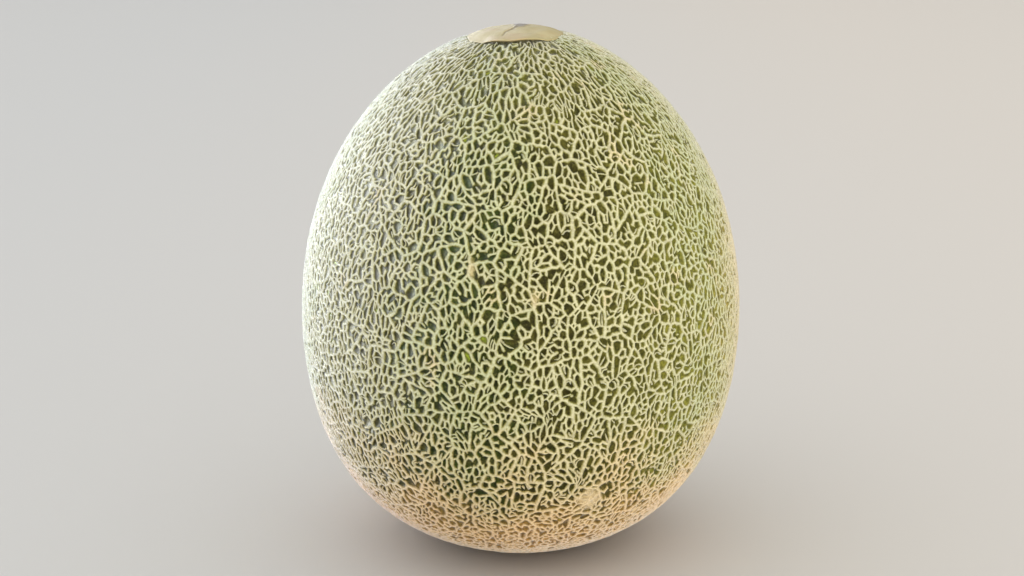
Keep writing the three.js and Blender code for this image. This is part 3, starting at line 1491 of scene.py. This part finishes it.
    def build(self) -> bpy.types.Object:
        """Builds the plate.

        Returns:
            The finished piece.
        """
        rings = []
        for number in range(1, self.rings + 1):
            share = self.top_end * number / self.rings
            flat = self._ring(share, 0.0)
            rings.append(self._ring(share, self._top_height(flat, share)))
        edge = self._edge_height()
        rings += [self._ring(share, edge - lips * self.lip) for share, lips in self.skirt]
        rings.append(self._ring(self.root_share, -self.root))
        middle = np.array([self.shift_x]), np.array([self.shift_y])
        points = np.vstack([self._on_cap(*middle, self.rise), *rings, self._on_cap(*middle, -2 * self.root)])
        values = {"spot": self._spot_share(points), "crack": self._crack_share(points)}
        faces = ring_faces(self.sides, len(rings))
        return make_piece("scar_plate", points, faces, PlateFinish().make(), values)


@dataclass(frozen=True)
class Scab:
    """A place where the threads run together into a low uneven patch of cork.

    Attributes:
        angle: Where it is round the fruit, in radians from +X.
        height: How high its middle is.
        radius: About how far it reaches.
        squash: How much its height counts, so that it is taller than wide.
        strength: How far the cork covers the skin in its middle.
        edge: Where it starts to fade and where it ends, in radii.
        uneven: How far its outline goes in and out, in radii.
        waves: How close those waves are, across and upwards.
        starts: Where they start.
    """

    angle: float
    height: float
    radius: float
    squash: float = 0.6
    strength: float = 0.5
    edge: Range = (0.35, 1.35)
    uneven: float = 0.35
    waves: Range = (900.0, 1100.0)
    starts: Range = (2.0, 1.0)

    def share(self, points: Array, egg: Egg) -> Array:
        """How far the patch covers places.

        Args:
            points: Points on the egg, one in each row.
            egg: The fruit's outline.

        Returns:
            The patch's strength in it, and 0 away from it.
        """
        level = 2 * self.height / egg.length - 1
        outward = egg.radius * math.sqrt(1 - level**2)
        middle = np.array([[outward * math.cos(self.angle), outward * math.sin(self.angle), self.height]])
        offset = points - egg.points(egg.directions(middle), 0)
        across, up = np.sin(offset[:, ::2] * self.waves + self.starts).T
        away = np.linalg.norm(offset * (1, 1, self.squash), axis=1) / self.radius
        return self.strength * (1 - smooth_step(away + self.uneven * across * up, *self.edge))


@dataclass(frozen=True)
class Hollow:
    """The open floor of one mesh: its feet on the flat, and where that flat lies on the fruit."""

    feet: list[Spot]
    middle: Vector
    east: Vector
    north: Vector
    depth: float

    def place(self, across: float, up: float) -> Vector:
        """The place on the fruit's flat that two distances from the middle lead to."""
        return self.middle + self.east * across + self.north * up

    def holds(self, across: float, up: float) -> bool:
        """Says whether a place on the flat is inside the feet."""
        return all(
            (there[0] - here[0]) * (up - here[1]) > (there[1] - here[1]) * (across - here[0])
            for here, there in zip(self.feet, self.feet[1:] + self.feet[:1])
        )


@dataclass
class NettedRind:
    """The fruit's whole surface: the skin and the raised net in one closed mesh.

    Attributes:
        relief: How deep a wide mesh is.
        upright_gain: How much wider upright threads are, and how much narrower level ones.
        top_gain: How much wider the threads are at the very top.
        straight_turn: How far a mesh's outline turns, in radians, before it needs another foot.
        wide_floor: The size of floor from which a mesh has its full depth.
        narrow_depth: The share of that depth that the narrowest mesh has.
        squeezed_depth: The share that it has where its threads' feet don't fit at all.
        fit_rounds: How many times the feet are made narrower until they fit.
        least_floor: The least area between a mesh's middle and one side of its floor, doubled.
        drawn_in: How far the feet are drawn in where nothing else fits.
        sharp_turn: The turn, as a sine, from which two sides' feet meet in a corner.
        longest_foot: How far such a corner may be, in half widths.
        crest_spread: How much the crests' heights differ.
        gap_depth: How deep a broken thread's gap is, as a share of the relief.
        scab_fill: How far a scab fills the meshes.
        pit_floor: The share of that radius that is level.
    """

    egg: Egg
    net: FineNet
    plate: ScarPlate
    relief: float = 0.00084
    upright_gain: float = 0.10
    top_gain: float = 0.12
    width_spread: Range = (0.86, 1.16)
    depth_spread: Range = (0.9, 1.1)
    straight_turn: float = 0.42
    wide_floor: float = 0.0012
    narrow_depth: float = 0.45
    squeezed_depth: float = 0.4
    fit_rounds: int = 9
    fit_step: float = 0.8
    least_floor: float = 4e-9
    drawn_in: float = 0.45
    sharp_turn: float = 0.3
    longest_foot: float = 1.9
    crest_spread: float = 0.00007
    gap_depth: float = 0.9
    scab_fill: float = 0.7
    pit_radius: float = 0.0072
    pit_floor: float = 0.75
    pit_depth: float = 0.0026
    seed: int = 11
    scabs: tuple[Scab, ...] = (
        Scab(math.radians(-70), 0.039, 0.0042),
        Scab(math.radians(-86.7), 0.107, 0.0015),
        Scab(math.radians(-102.3), 0.117, 0.0016),
        Scab(math.radians(40), 0.060, 0.0030),
        Scab(math.radians(150), 0.118, 0.0024),
    )

    def __post_init__(self) -> None:
        """Starts the row of random draws."""
        self.draw = random.Random(self.seed)

    def build(self) -> bpy.types.Object:
        """Builds the rind.

        Returns:
            The finished piece.
        """
        widths = {side: self._half_foot(side, age) for side, age in self.net.ages.items()}
        self.flat_places: list[tuple[float, float, float]] = []
        self.depths: list[float] = []
        self.tones: list[float] = []
        self.hollows: list[Hollow] = []
        faces = []
        for loop in self.net.loops:
            faces += self._add_mesh(loop, widths)
        return self._to_object(faces)

    def _half_foot(self, side: tuple[int, int], age: int) -> float:
        """Half the foot of a side's thread: upright threads are a little wider than level ones.

        Args:
            side: The side.
            age: The age of its thread.

        Returns:
            The half width at the foot.
        """
        start, end = (self.net.places[corner] for corner in side)
        steep = abs(end.z - start.z) / max((end - start).length, TINY)
        lean = 1 + self.upright_gain * (2 * steep**2 - 1)
        upper = 1 + self.top_gain * self.net.nearness_to_top(start)
        return Thread.of_age(age).half_foot * lean * upper * self.draw.uniform(*self.width_spread)

    def _add_mesh(self, loop: list[int], widths: dict[tuple[int, int], float]) -> list[Face]:
        """Adds the feet of the threads round one mesh, its floor and the slopes down to it.

        Args:
            loop: The corners round the mesh.
            widths: Half the foot of each side's thread.

        Returns:
            The faces, as rows of point numbers.
        """
        places = [self.net.places[corner] for corner in loop]
        middle = sum(places, Vector()) / len(places)
        east, north = self.egg.compass(middle)
        flat = [((place - middle).dot(east), (place - middle).dot(north)) for place in places]
        runs = self._straight_runs(loop, flat)
        count = len(runs)
        sides = [self.draw.uniform(*self.width_spread) * self._mean_width(run, widths) for run in runs]
        turning = [flat[loop.index(run[0])] for run in runs]
        feet, scale = self._fit_feet(turning, sides)
        open_share = min(1.0, math.sqrt(max(FineNet.area(feet), 0)) / self.wide_floor)
        depth = self.relief * (self.narrow_depth + (1 - self.narrow_depth) * open_share)
        depth *= self.squeezed_depth + (1 - self.squeezed_depth) * scale
        depth *= self.draw.uniform(*self.depth_spread)
        tone = self.draw.random()
        self.hollows.append(Hollow(feet, middle, east, north, depth))
        start = len(self.net.places) + len(self.flat_places)
        for across, up in feet:
            self.flat_places.append(tuple(middle + east * across + north * up))
            self.depths.append(depth)
            self.tones.append(tone)
        faces = [tuple(range(start, start + count))]
        for number, run in enumerate(runs):
            faces += self._slope(run, start + number, start + (number + 1) % count)
        return faces

    def _mean_width(self, run: list[int], widths: dict[tuple[int, int], float]) -> float:
        """The mean of half the feet of a run's threads."""
        return sum(widths[self.net.side(*pair)] for pair in zip(run, run[1:])) / (len(run) - 1)

    def _straight_runs(self, loop: list[int], flat: list[Spot]) -> list[list[int]]:
        """Parts a loop at the corners where it turns, so that straight stretches need no more feet.

        Args:
            loop: The corners round the mesh.
            flat: Their places on the flat.

        Returns:
            The runs of corners, each of which starts with the last corner of the one before.
        """
        count = len(loop)
        turns = []
        for k in range(count):
            before, here, after = flat[k - 1], flat[k], flat[(k + 1) % count]
            inward = (here[0] - before[0], here[1] - before[1])
            onward = (after[0] - here[0], after[1] - here[1])
            cross = inward[0] * onward[1] - inward[1] * onward[0]
            turns.append(math.atan2(cross, inward[0] * onward[0] + inward[1] * onward[1]))
        first = max(range(count), key=lambda k: turns[k])
        kept = [first]
        turned = 0.0
        for step in range(1, count):
            k = (first + step) % count
            turned += turns[k]
            if abs(turned) > self.straight_turn:
                kept.append(k)
                turned = 0.0
        if len(kept) < 3:
            kept = list(range(count))
        runs = []
        for here, there in zip(kept, kept[1:] + kept[:1]):
            steps = (there - here) % count
            runs.append([loop[(here + step) % count] for step in range(steps + 1)])
        return runs

    def _slope(self, run: list[int], foot: int, next_foot: int) -> list[Face]:
        """The slope of a straight stretch of threads, down to its two feet.

        Args:
            run: The corners along the stretch.
            foot: The foot below the first corner.
            next_foot: The foot below the last one.

        Returns:
            The faces, as rows of point numbers.
        """
        if len(run) == 2:
            return [(run[0], run[1], next_foot, foot)]
        gaps = [k for k, corner in enumerate(run) if corner in self.net.gaps]
        hub = gaps[0] if gaps else len(run) // 2
        faces = [(run[k], run[k + 1], foot) for k in range(hub)]
        faces.append((run[hub], next_foot, foot))
        faces += [(run[k], run[k + 1], next_foot) for k in range(hub, len(run) - 1)]
        return faces

    def _fit_feet(self, flat: list[Spot], sides: list[float]) -> tuple[list[Spot], float]:
        """Draws a mesh's sides in by the threads' half widths, with less where it is small.

        Args:
            flat: The mesh's turning corners, on the flat.
            sides: Half the foot of the thread that starts at each.

        Returns:
            The places of the feet on the flat, and the share of the full widths that fits.
        """
        scale = 1.0
        for _ in range(self.fit_rounds):
            feet = self._feet(flat, [side * scale for side in sides])
            count = len(feet)
            centre = (sum(foot[0] for foot in feet) / count, sum(foot[1] for foot in feet) / count)
            turns = [
                (feet[k][0] - centre[0]) * (feet[(k + 1) % count][1] - centre[1])
                - (feet[k][1] - centre[1]) * (feet[(k + 1) % count][0] - centre[0])
                for k in range(count)
            ]
            if min(turns) > self.least_floor:
                return feet, scale
            scale *= self.fit_step
        return [(self.drawn_in * east, self.drawn_in * north) for east, north in flat], scale

    def _feet(self, flat: list[Spot], sides: list[float]) -> list[Spot]:
        """The places where lines drawn in from each two neighbouring sides meet.

        Args:
            flat: The mesh's turning corners, on the flat.
            sides: How far in the line along each side is drawn.

        Returns:
            The places of the feet on the flat.
        """
        count = len(flat)
        normals = []
        for k in range(count):
            east = flat[(k + 1) % count][0] - flat[k][0]
            north = flat[(k + 1) % count][1] - flat[k][1]
            length = math.hypot(east, north) or TINY
            normals.append((-north / length, east / length))
        feet = []
        for k in range(count):
            before, after = normals[k - 1], normals[k]
            wide_before, wide_after = sides[k - 1], sides[k]
            turn = before[0] * after[1] - before[1] * after[0]
            if abs(turn) > self.sharp_turn:
                east = (wide_before * after[1] - wide_after * before[1]) / turn
                north = (wide_after * before[0] - wide_before * after[0]) / turn
            else:
                east = (before[0] + after[0]) / 2 * (wide_before + wide_after) / 2
                north = (before[1] + after[1]) / 2 * (wide_before + wide_after) / 2
            reach = math.hypot(east, north)
            most = self.longest_foot * max(wide_before, wide_after)
            if reach > most:
                east, north = east * most / reach, north * most / reach
            feet.append((flat[k][0] + east, flat[k][1] + north))
        return feet

    def _crest_drops(self) -> Array:
        """How far below a main thread's crest each corner of the net is.

        Returns:
            One drop for each corner.
        """
        drops = np.full(len(self.net.places), Thread.HAIR.drop)
        for (first, second), age in self.net.ages.items():
            drop = Thread.of_age(age).drop
            drops[first] = min(drops[first], drop)
            drops[second] = min(drops[second], drop)
        drops += np.random.default_rng(self.seed).uniform(0, self.crest_spread, len(drops))
        drops[list(self.net.gaps)] = self.relief * self.gap_depth
        return drops

    def _scab_share(self, points: Array) -> Array:
        """How far the scabs cover each point."""
        return np.max([scab.share(points, self.egg) for scab in self.scabs], axis=0)

    def _to_object(self, faces: list[Face]) -> bpy.types.Object:
        """Makes the mesh, with the values that its material reads.

        Args:
            faces: The floors and the threads' slopes.

        Returns:
            The finished piece.
        """
        crests = self.egg.directions(np.array(self.net.places))
        floors = self.egg.directions(np.array(self.flat_places))
        surface = self.egg.points(np.vstack([crests, floors]), 0)
        scab = self._scab_share(surface)
        depths = np.concatenate([self._crest_drops(), np.array(self.depths)])
        depths *= 1 - self.scab_fill * scab
        # A bare groove of dark skin round the plate: partly a groove in the net and partly painted shadow
        # under the lifted lip.
        bare_groove_shadow = self.plate.groove_shadow_share(surface)
        depths += (self.relief - depths) * bare_groove_shadow
        points = self.egg.points(np.vstack([crests, floors]), -depths)
        points = self._flatten_base(points)
        crest = np.zeros(len(points))
        crest[:len(crests)] = 1
        crest[list(self.net.gaps)] = 0
        crest *= 1 - bare_groove_shadow
        tone = np.concatenate([np.full(len(crests), EVEN_TONE), np.array(self.tones)])
        values = {"crest": crest, "tone": tone, "scab": scab}
        return make_piece("netted_rind", points, faces, RindFinish().make(), values)

    def _flatten_base(self, points: Array) -> Array:
        """Presses the lower end flat on the ground, with a pit for the round scar in its middle.

        Args:
            points: The rind's points, one in each row.

        Returns:
            The same points, with those at the lower end moved up.
        """
        outward = np.hypot(points[:, 0], points[:, 1])
        low = points[:, 2] < self.egg.length / 4
        pit = 1 - smooth_step(outward, self.pit_floor * self.pit_radius, self.pit_radius)
        ground = self.pit_depth * pit
        points[low, 2] = np.maximum(points[low, 2], ground[low])
        return points


class Growth(Enum):
    """The two kinds of thin thread on the floors of the meshes.

    Each value holds stations: the share of the way along, of the full width and of the floor's depth.
    """

    SPUR = ((0.0, 1.0, 0.90), (0.35, 1.0, 0.80), (0.72, 0.85, 0.66), (1.0, 0.40, 0.35))
    BRIDGE = ((0.0, 1.0, 0.80), (0.33, 0.72, 0.50), (0.67, 0.72, 0.50), (1.0, 1.0, 0.80))


@dataclass
class ThinThreads:
    """Thin low threads on the floors of the wider meshes: bent spurs that end there, and bridges.

    Attributes:
        bridge_share: The share of them that are bridges.
        least_floor: The size of the smallest floor that has one.
        half_foot: Half the width of a thread at its widest.
        overlap: How far it reaches into the wall that it grows from.
        sink: How far its sides go down into the floor.
        crest: How pale its crest is, where a thread of the net has 1.
        lowest: The height below which none grow.
        bends: How far it bends aside, as a share of its length.
        bridge_bow: How far a bridge bows, as a share of what a spur does.
        reaches: How far a spur reaches, in distances from its wall to the middle.
        wall_shares: Where along its walls a bridge may stand.
    """

    egg: Egg
    plate: ScarPlate
    share: float = 0.72
    bridge_share: float = 0.36
    least_floor: float = 0.0010
    half_foot: float = 0.00056
    overlap: float = 0.00056
    sink: float = 0.00012
    crest: float = 0.92
    lowest: float = 0.003
    bends: Range = (-0.55, 0.55)
    bridge_bow: float = 0.5
    reaches: Range = (1.1, 1.7)
    widths: Range = (0.75, 1.15)
    wall_shares: Range = (0.25, 0.75)
    seed: int = 23

    def build(self, hollows: list[Hollow], finish: bpy.types.Material) -> bpy.types.Object:
        """Builds the threads.

        Args:
            hollows: The floors of the net's meshes.
            finish: The rind's finish, which they share.

        Returns:
            The finished piece.
        """
        draw = random.Random(self.seed)
        places: list[Vector] = []
        heights: list[float] = []
        faces: list[Face] = []
        for hollow in hollows:
            thread = self._grow(hollow, draw)
            if thread is not None:
                faces += [tuple(len(places) + corner for corner in face) for face in self._faces()]
                places += [hollow.place(across, up) for across, up, _ in thread]
                heights += [height for _, _, height in thread]
        points = self.egg.points(self.egg.directions(np.array(places)), np.array(heights))
        crest = np.tile([0.0, self.crest, 0.0], len(points) // 3)
        even = np.full(len(points), EVEN_TONE)
        values = {"crest": crest, "tone": even, "scab": np.zeros(len(points))}
        return make_piece("thin_threads", points, faces, finish, values)

    def _grow(self, hollow: Hollow, draw: random.Random) -> list[tuple[float, float, float]] | None:
        """Grows one thread on a hollow's floor.

        Args:
            hollow: The floor.
            draw: The row of random draws.

        Returns:
            For each point, its place on the flat and its height over the egg, or None where none grows.
        """
        feet = hollow.feet
        count = len(feet)
        kind = Growth.BRIDGE if draw.random() < self.bridge_share and count > 3 else Growth.SPUR
        first = draw.randrange(count)
        grows = draw.random() < self.share
        bend, reach, wide = (draw.uniform(*span) for span in (self.bends, self.reaches, self.widths))
        if not grows or hollow.middle.z < self.lowest or self.plate.covers(hollow.middle):
            return None
        if math.sqrt(max(FineNet.area(feet), 0)) < self.least_floor:
            return None
        centre = Vector((sum(foot[0] for foot in feet), sum(foot[1] for foot in feet))) / count
        walls = [self._on_wall(feet, number, 0.5, centre) - centre for number in range(count)]
        if kind is Growth.BRIDGE:
            first = min(range(count), key=lambda number: walls[number].length)
            facing = [wall.normalized() @ walls[first] for wall in walls]
            root = self._on_wall(feet, first, draw.uniform(*self.wall_shares), centre)
            end = self._on_wall(feet, facing.index(min(facing)), draw.uniform(*self.wall_shares), centre)
        else:
            root = centre + walls[first]
            end = centre + walls[first] * (1 - reach)
        along = end - root
        aside = Vector((-along.y, along.x)) * bend
        return self._stations(hollow, kind, root, along, aside, wide)

    def _stations(
        self, hollow: Hollow, kind: Growth, root: Vector, along: Vector, aside: Vector, wide: float
    ) -> list[tuple[float, float, float]] | None:
        """Lays the stations of one thread along its bent way.

        Args:
            hollow: The floor.
            kind: The kind of thread.
            root: Where it starts, on the flat.
            along: The way from there to its end.
            aside: Which way it bends, and how far.
            wide: Its width, as a share of a thin thread's.

        Returns:
            The thread's points as `_grow` gives them, or None where it would leave the floor.
        """
        is_bridge = kind is Growth.BRIDGE
        bow = self.bridge_bow if is_bridge else 1.0
        low = -hollow.depth - self.sink
        points = []
        for step, width, rise in kind.value:
            place = root + along * step + aside * 4 * step * (1 - step) * bow
            heading = (along + aside * 4 * (1 - 2 * step)).normalized()
            side = Vector((-heading.y, heading.x)) * self.half_foot * wide * width
            is_free = 0 < step < 1 or (step == 1 and not is_bridge)
            if is_free and not hollow.holds(*place):
                return None
            points.append((*(place + side), low))
            points.append((*place, -hollow.depth * (1 - rise)))
            points.append((*(place - side), low))
        return points

    def _on_wall(self, feet: list[Spot], number: int, share: float, centre: Vector) -> Vector:
        """A place at a share of the way along one wall, a little way into it.

        Args:
            feet: The feet round the floor.
            number: The wall's number.
            share: The share of the way along it.
            centre: The middle of the floor.

        Returns:
            The place on the flat.
        """
        foot = Vector(feet[number]).lerp(Vector(feet[(number + 1) % len(feet)]), share)
        outward = foot - centre
        return foot + outward.normalized() * self.overlap

    @staticmethod
    def _faces() -> list[Face]:
        """The faces of one thread: three sides between each two stations, and one at each end.

        Returns:
            The faces, as rows of point numbers.
        """
        faces: list[Face] = [(0, 1, 2)]
        last = 3 * (len(Growth.SPUR.value) - 1)
        for first in range(0, last, 3):
            for here, there in ((0, 1), (1, 2), (2, 0)):
                faces.append((first + there, first + here, first + here + 3, first + there + 3))
        faces.append((last + 2, last + 1, last))
        return faces


@dataclass
class StemScar:
    """The small round corky scar in the pit of the flat spot, ringed and uneven."""

    radius: float = 0.0062
    lowest: float = 0.0009
    dome: float = 0.0005
    top: float = 0.0046
    root_share: float = 0.97
    outline_waves: tuple[Wave, ...] = (Wave(0.03, 5, 2.0), Wave(0.02, 9))
    ring_ripple: float = 0.00010
    ring_count: int = 9
    uneven_ripple: float = 0.00008
    uneven_count: int = 11
    rim_start: float = 0.8
    rim_rise: float = 0.0016
    rings: int = 40
    sides: int = 96

    def build(self) -> bpy.types.Object:
        """Builds the scar.

        Returns:
            The finished piece.
        """
        angles = np.arange(self.sides) * 2 * math.pi / self.sides
        points = [(0.0, 0.0, self.lowest + self.dome)]
        for number in range(1, self.rings + 1):
            share = number / self.rings
            reach = self.radius * share * wavy(angles, self.outline_waves)
            points += zip(reach * np.cos(angles), reach * np.sin(angles), self._heights(angles, share))
        points += [(self.root_share * x, self.root_share * y, self.top) for x, y, _ in points[-self.sides:]]
        points.append((0.0, 0.0, self.top))
        faces = ring_faces(self.sides, self.rings + 1, faces_down=True)
        return make_piece("stem_scar", np.array(points), faces, ScarFinish().make())

    def _heights(self, angles: Array, share: float) -> Array:
        """The heights of one ring of the face.

        Args:
            angles: The angle of each point.
            share: How far out the ring is, as a share of the radius.

        Returns:
            One height for each point.
        """
        ripple = self.ring_ripple * math.cos(self.ring_count * math.pi * share)
        uneven = self.uneven_ripple * np.sin(self.uneven_count * angles) * share
        rim = self.rim_rise * (max(0.0, share - self.rim_start) / (1 - self.rim_start)) ** 2
        return self.lowest + self.dome * (1 - share) + ripple + uneven + rim


@dataclass(frozen=True)
class Lamp:
    """One soft lamp that lights the fruit alone: matt surfaces, their gloss, or both."""

    name: str
    place: tuple[float, float, float]
    size: float
    power: float
    colour: tuple[float, float, float]
    lights_matt: bool = True
    lights_gloss: bool = False


@dataclass
class Studio:
    """A plain pale floor that curves up into a wall, soft lights and the camera."""

    egg: Egg
    camera_distance: float = 0.600
    camera_height: float = 0.246
    pixels_per_metre: float = 2812.0
    picture_width: int = 1024
    picture_height: int = 576
    melon_column: float = 520.5
    melon_row: float = 288.6
    sensor_width: float = 36.0
    floor_drop: float = 0.0002
    floor_reach: float = 5.0
    bend_radius: float = 1.2
    bend_steps: int = 12
    wall_height: float = 3.0
    room_light: float = 1.0
    cool: Colour = (0.95, 0.98, 1.0, 1.0)
    warm: Colour = (1.0, 0.97, 0.91, 1.0)
    far_wall: Colour = srgb(209, 207, 203)
    lamps_aim: tuple[float, float, float] = (0.0, 0.0, 0.1)
    lamps: tuple[Lamp, ...] = (
        Lamp("window", (-1.25, 0.55, 0.30), 1.3, 46.0, (0.50, 0.56, 1.0)),
        Lamp("gleam", (-1.35, 0.50, 0.35), 2.0, 380.0, (0.92, 0.97, 1.0), False, True),
        Lamp("low_left", (-0.75, -1.0, 0.03), 0.6, 3.0, (1.0, 1.0, 0.90)),
        Lamp("front_right", (1.2, -0.8, 0.35), 1.0, 14.5, (0.98, 1.0, 0.96)),
        Lamp("low_front", (0.15, -1.4, 0.04), 1.2, 20.0, (1.0, 0.93, 0.78)),
    )

    def build(self, pieces: list[bpy.types.Object]) -> None:
        """Builds the surroundings, the lights and the camera.

        Args:
            pieces: The pieces of the fruit, which the lamps light.
        """
        self._backdrop()
        self._room_light()
        lit = bpy.data.collections.new("lit")
        for piece in pieces:
            lit.objects.link(piece)
        for lamp in self.lamps:
            self._hang(lamp, lit)
        self._camera()

    def _backdrop(self) -> None:
        """The floor and the far wall behind, in one sheet that bends up."""
        reach, bend = self.floor_reach, self.bend_radius
        profile = [(-reach, 0.0)]
        for step in range(self.bend_steps + 1):
            angle = math.pi / 2 * step / self.bend_steps
            profile.append((reach - bend + bend * math.sin(angle), bend - bend * math.cos(angle)))
        profile.append((reach, self.wall_height))
        points = [(x, y, z - self.floor_drop) for y, z in profile for x in (-reach, reach)]
        faces = [(2 * k, 2 * k + 1, 2 * k + 3, 2 * k + 2) for k in range(len(profile) - 1)]
        piece = make_piece("backdrop", np.array(points), faces, FloorFinish().make())
        piece.visible_glossy = False

    def _room_light(self) -> None:
        """Even light from all around, cool on the left and warm on the right, that no gloss mirrors.

        The camera itself sees a plain colour there, past the edge of the floor.
        """
        world = bpy.data.worlds.new("room")
        bpy.context.scene.world = world
        world.use_nodes = True
        tree = world.node_tree
        place = tree.nodes.new("ShaderNodeTexCoord")
        parts = tree.nodes.new("ShaderNodeSeparateXYZ")
        across = tree.nodes.new("ShaderNodeMapRange")
        across.inputs["From Min"].default_value = -1.0
        light_tint = tree.nodes.new("ShaderNodeMix")
        light_tint.data_type = "RGBA"
        light_tint.inputs[FIRST_COLOUR].default_value = self.cool
        light_tint.inputs[SECOND_COLOUR].default_value = self.warm
        seen = tree.nodes.new("ShaderNodeMix")
        seen.data_type = "RGBA"
        seen.inputs[SECOND_COLOUR].default_value = self.far_wall
        rays = tree.nodes.new("ShaderNodeLightPath")
        background = tree.nodes["Background"]
        background.inputs["Strength"].default_value = self.room_light
        tree.links.new(place.outputs["Generated"], parts.inputs["Vector"])
        tree.links.new(parts.outputs["X"], across.inputs["Value"])
        tree.links.new(across.outputs["Result"], light_tint.inputs["Factor"])
        tree.links.new(light_tint.outputs[MIXED_COLOUR], seen.inputs[FIRST_COLOUR])
        tree.links.new(rays.outputs["Is Camera Ray"], seen.inputs["Factor"])
        tree.links.new(seen.outputs[MIXED_COLOUR], background.inputs["Color"])
        world.cycles_visibility.glossy = False

    def _hang(self, lamp: Lamp, lit: bpy.types.Collection) -> None:
        """Hangs one lamp that lights only the pieces of a collection.

        Args:
            lamp: The lamp.
            lit: The collection.
        """
        light = bpy.data.lights.new(lamp.name, "AREA")
        light.shape = "DISK"
        light.size = lamp.size
        light.energy = lamp.power
        light.color = lamp.colour
        hung = bpy.data.objects.new(lamp.name, light)
        hung.location = lamp.place
        hung.rotation_mode = "QUATERNION"
        aim = Vector(self.lamps_aim) - Vector(lamp.place)
        hung.rotation_quaternion = aim.to_track_quat("-Z", "Y")
        hung.visible_diffuse = lamp.lights_matt
        hung.visible_glossy = lamp.lights_gloss
        hung.light_linking.receiver_collection = lit
        bpy.context.scene.collection.objects.link(hung)

    def _camera(self) -> None:
        """The photograph's view: a little above the middle of the fruit."""
        middle = Vector((0, 0, self.egg.length / 2 - self.egg.flat_spot_depth))
        place = Vector((0, -self.camera_distance, self.camera_height))
        away = (middle - place).length
        lens_pixels = self.pixels_per_metre * away
        data = bpy.data.cameras.new("camera")
        data.sensor_width = self.sensor_width
        data.lens = lens_pixels / self.picture_width * data.sensor_width
        aim = Vector((
            (self.picture_width / 2 - self.melon_column) / self.pixels_per_metre,
            0,
            middle.z + (self.melon_row - self.picture_height / 2) / self.pixels_per_metre,
        ))
        camera = bpy.data.objects.new("camera", data)
        camera.location = place
        camera.rotation_mode = "QUATERNION"
        camera.rotation_quaternion = (aim - place).to_track_quat("-Z", "Y")
        bpy.context.scene.collection.objects.link(camera)
        bpy.context.scene.camera = camera
        bpy.context.scene.view_settings.view_transform = "Standard"


def dress(piece: bpy.types.Object) -> None:
    """Puts a finished piece in the frame, in place of the plain solid.

    Args:
        piece: The piece.
    """
    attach(piece, BODY)
    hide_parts(NODE)
    LOG.info("%s: %d faces", piece.name, len(piece.data.polygons))


def main() -> None:
    """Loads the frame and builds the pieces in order."""
    logging.basicConfig(level=logging.INFO, format="%(message)s")
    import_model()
    egg = Egg()
    plate = ScarPlate(egg)
    net = FineNet(egg)
    net.grow(MainNet(), plate.covers)
    LOG.info("the net has %d meshes and %d sides", len(net.loops), len(net.ages))
    rind = NettedRind(egg, net, plate)
    skin = rind.build()
    pieces = {
        skin: "netted_rind",
        ThinThreads(egg, plate).build(rind.hollows, skin.data.materials[0]): "netted_rind",
        plate.build(): "corky_scar",
        StemScar().build(): "corky_scar",
    }
    for piece, slot in pieces.items():
        dress(piece)
    Studio(egg).build(list(pieces))
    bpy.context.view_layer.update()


if __name__ == "__main__":
    main()
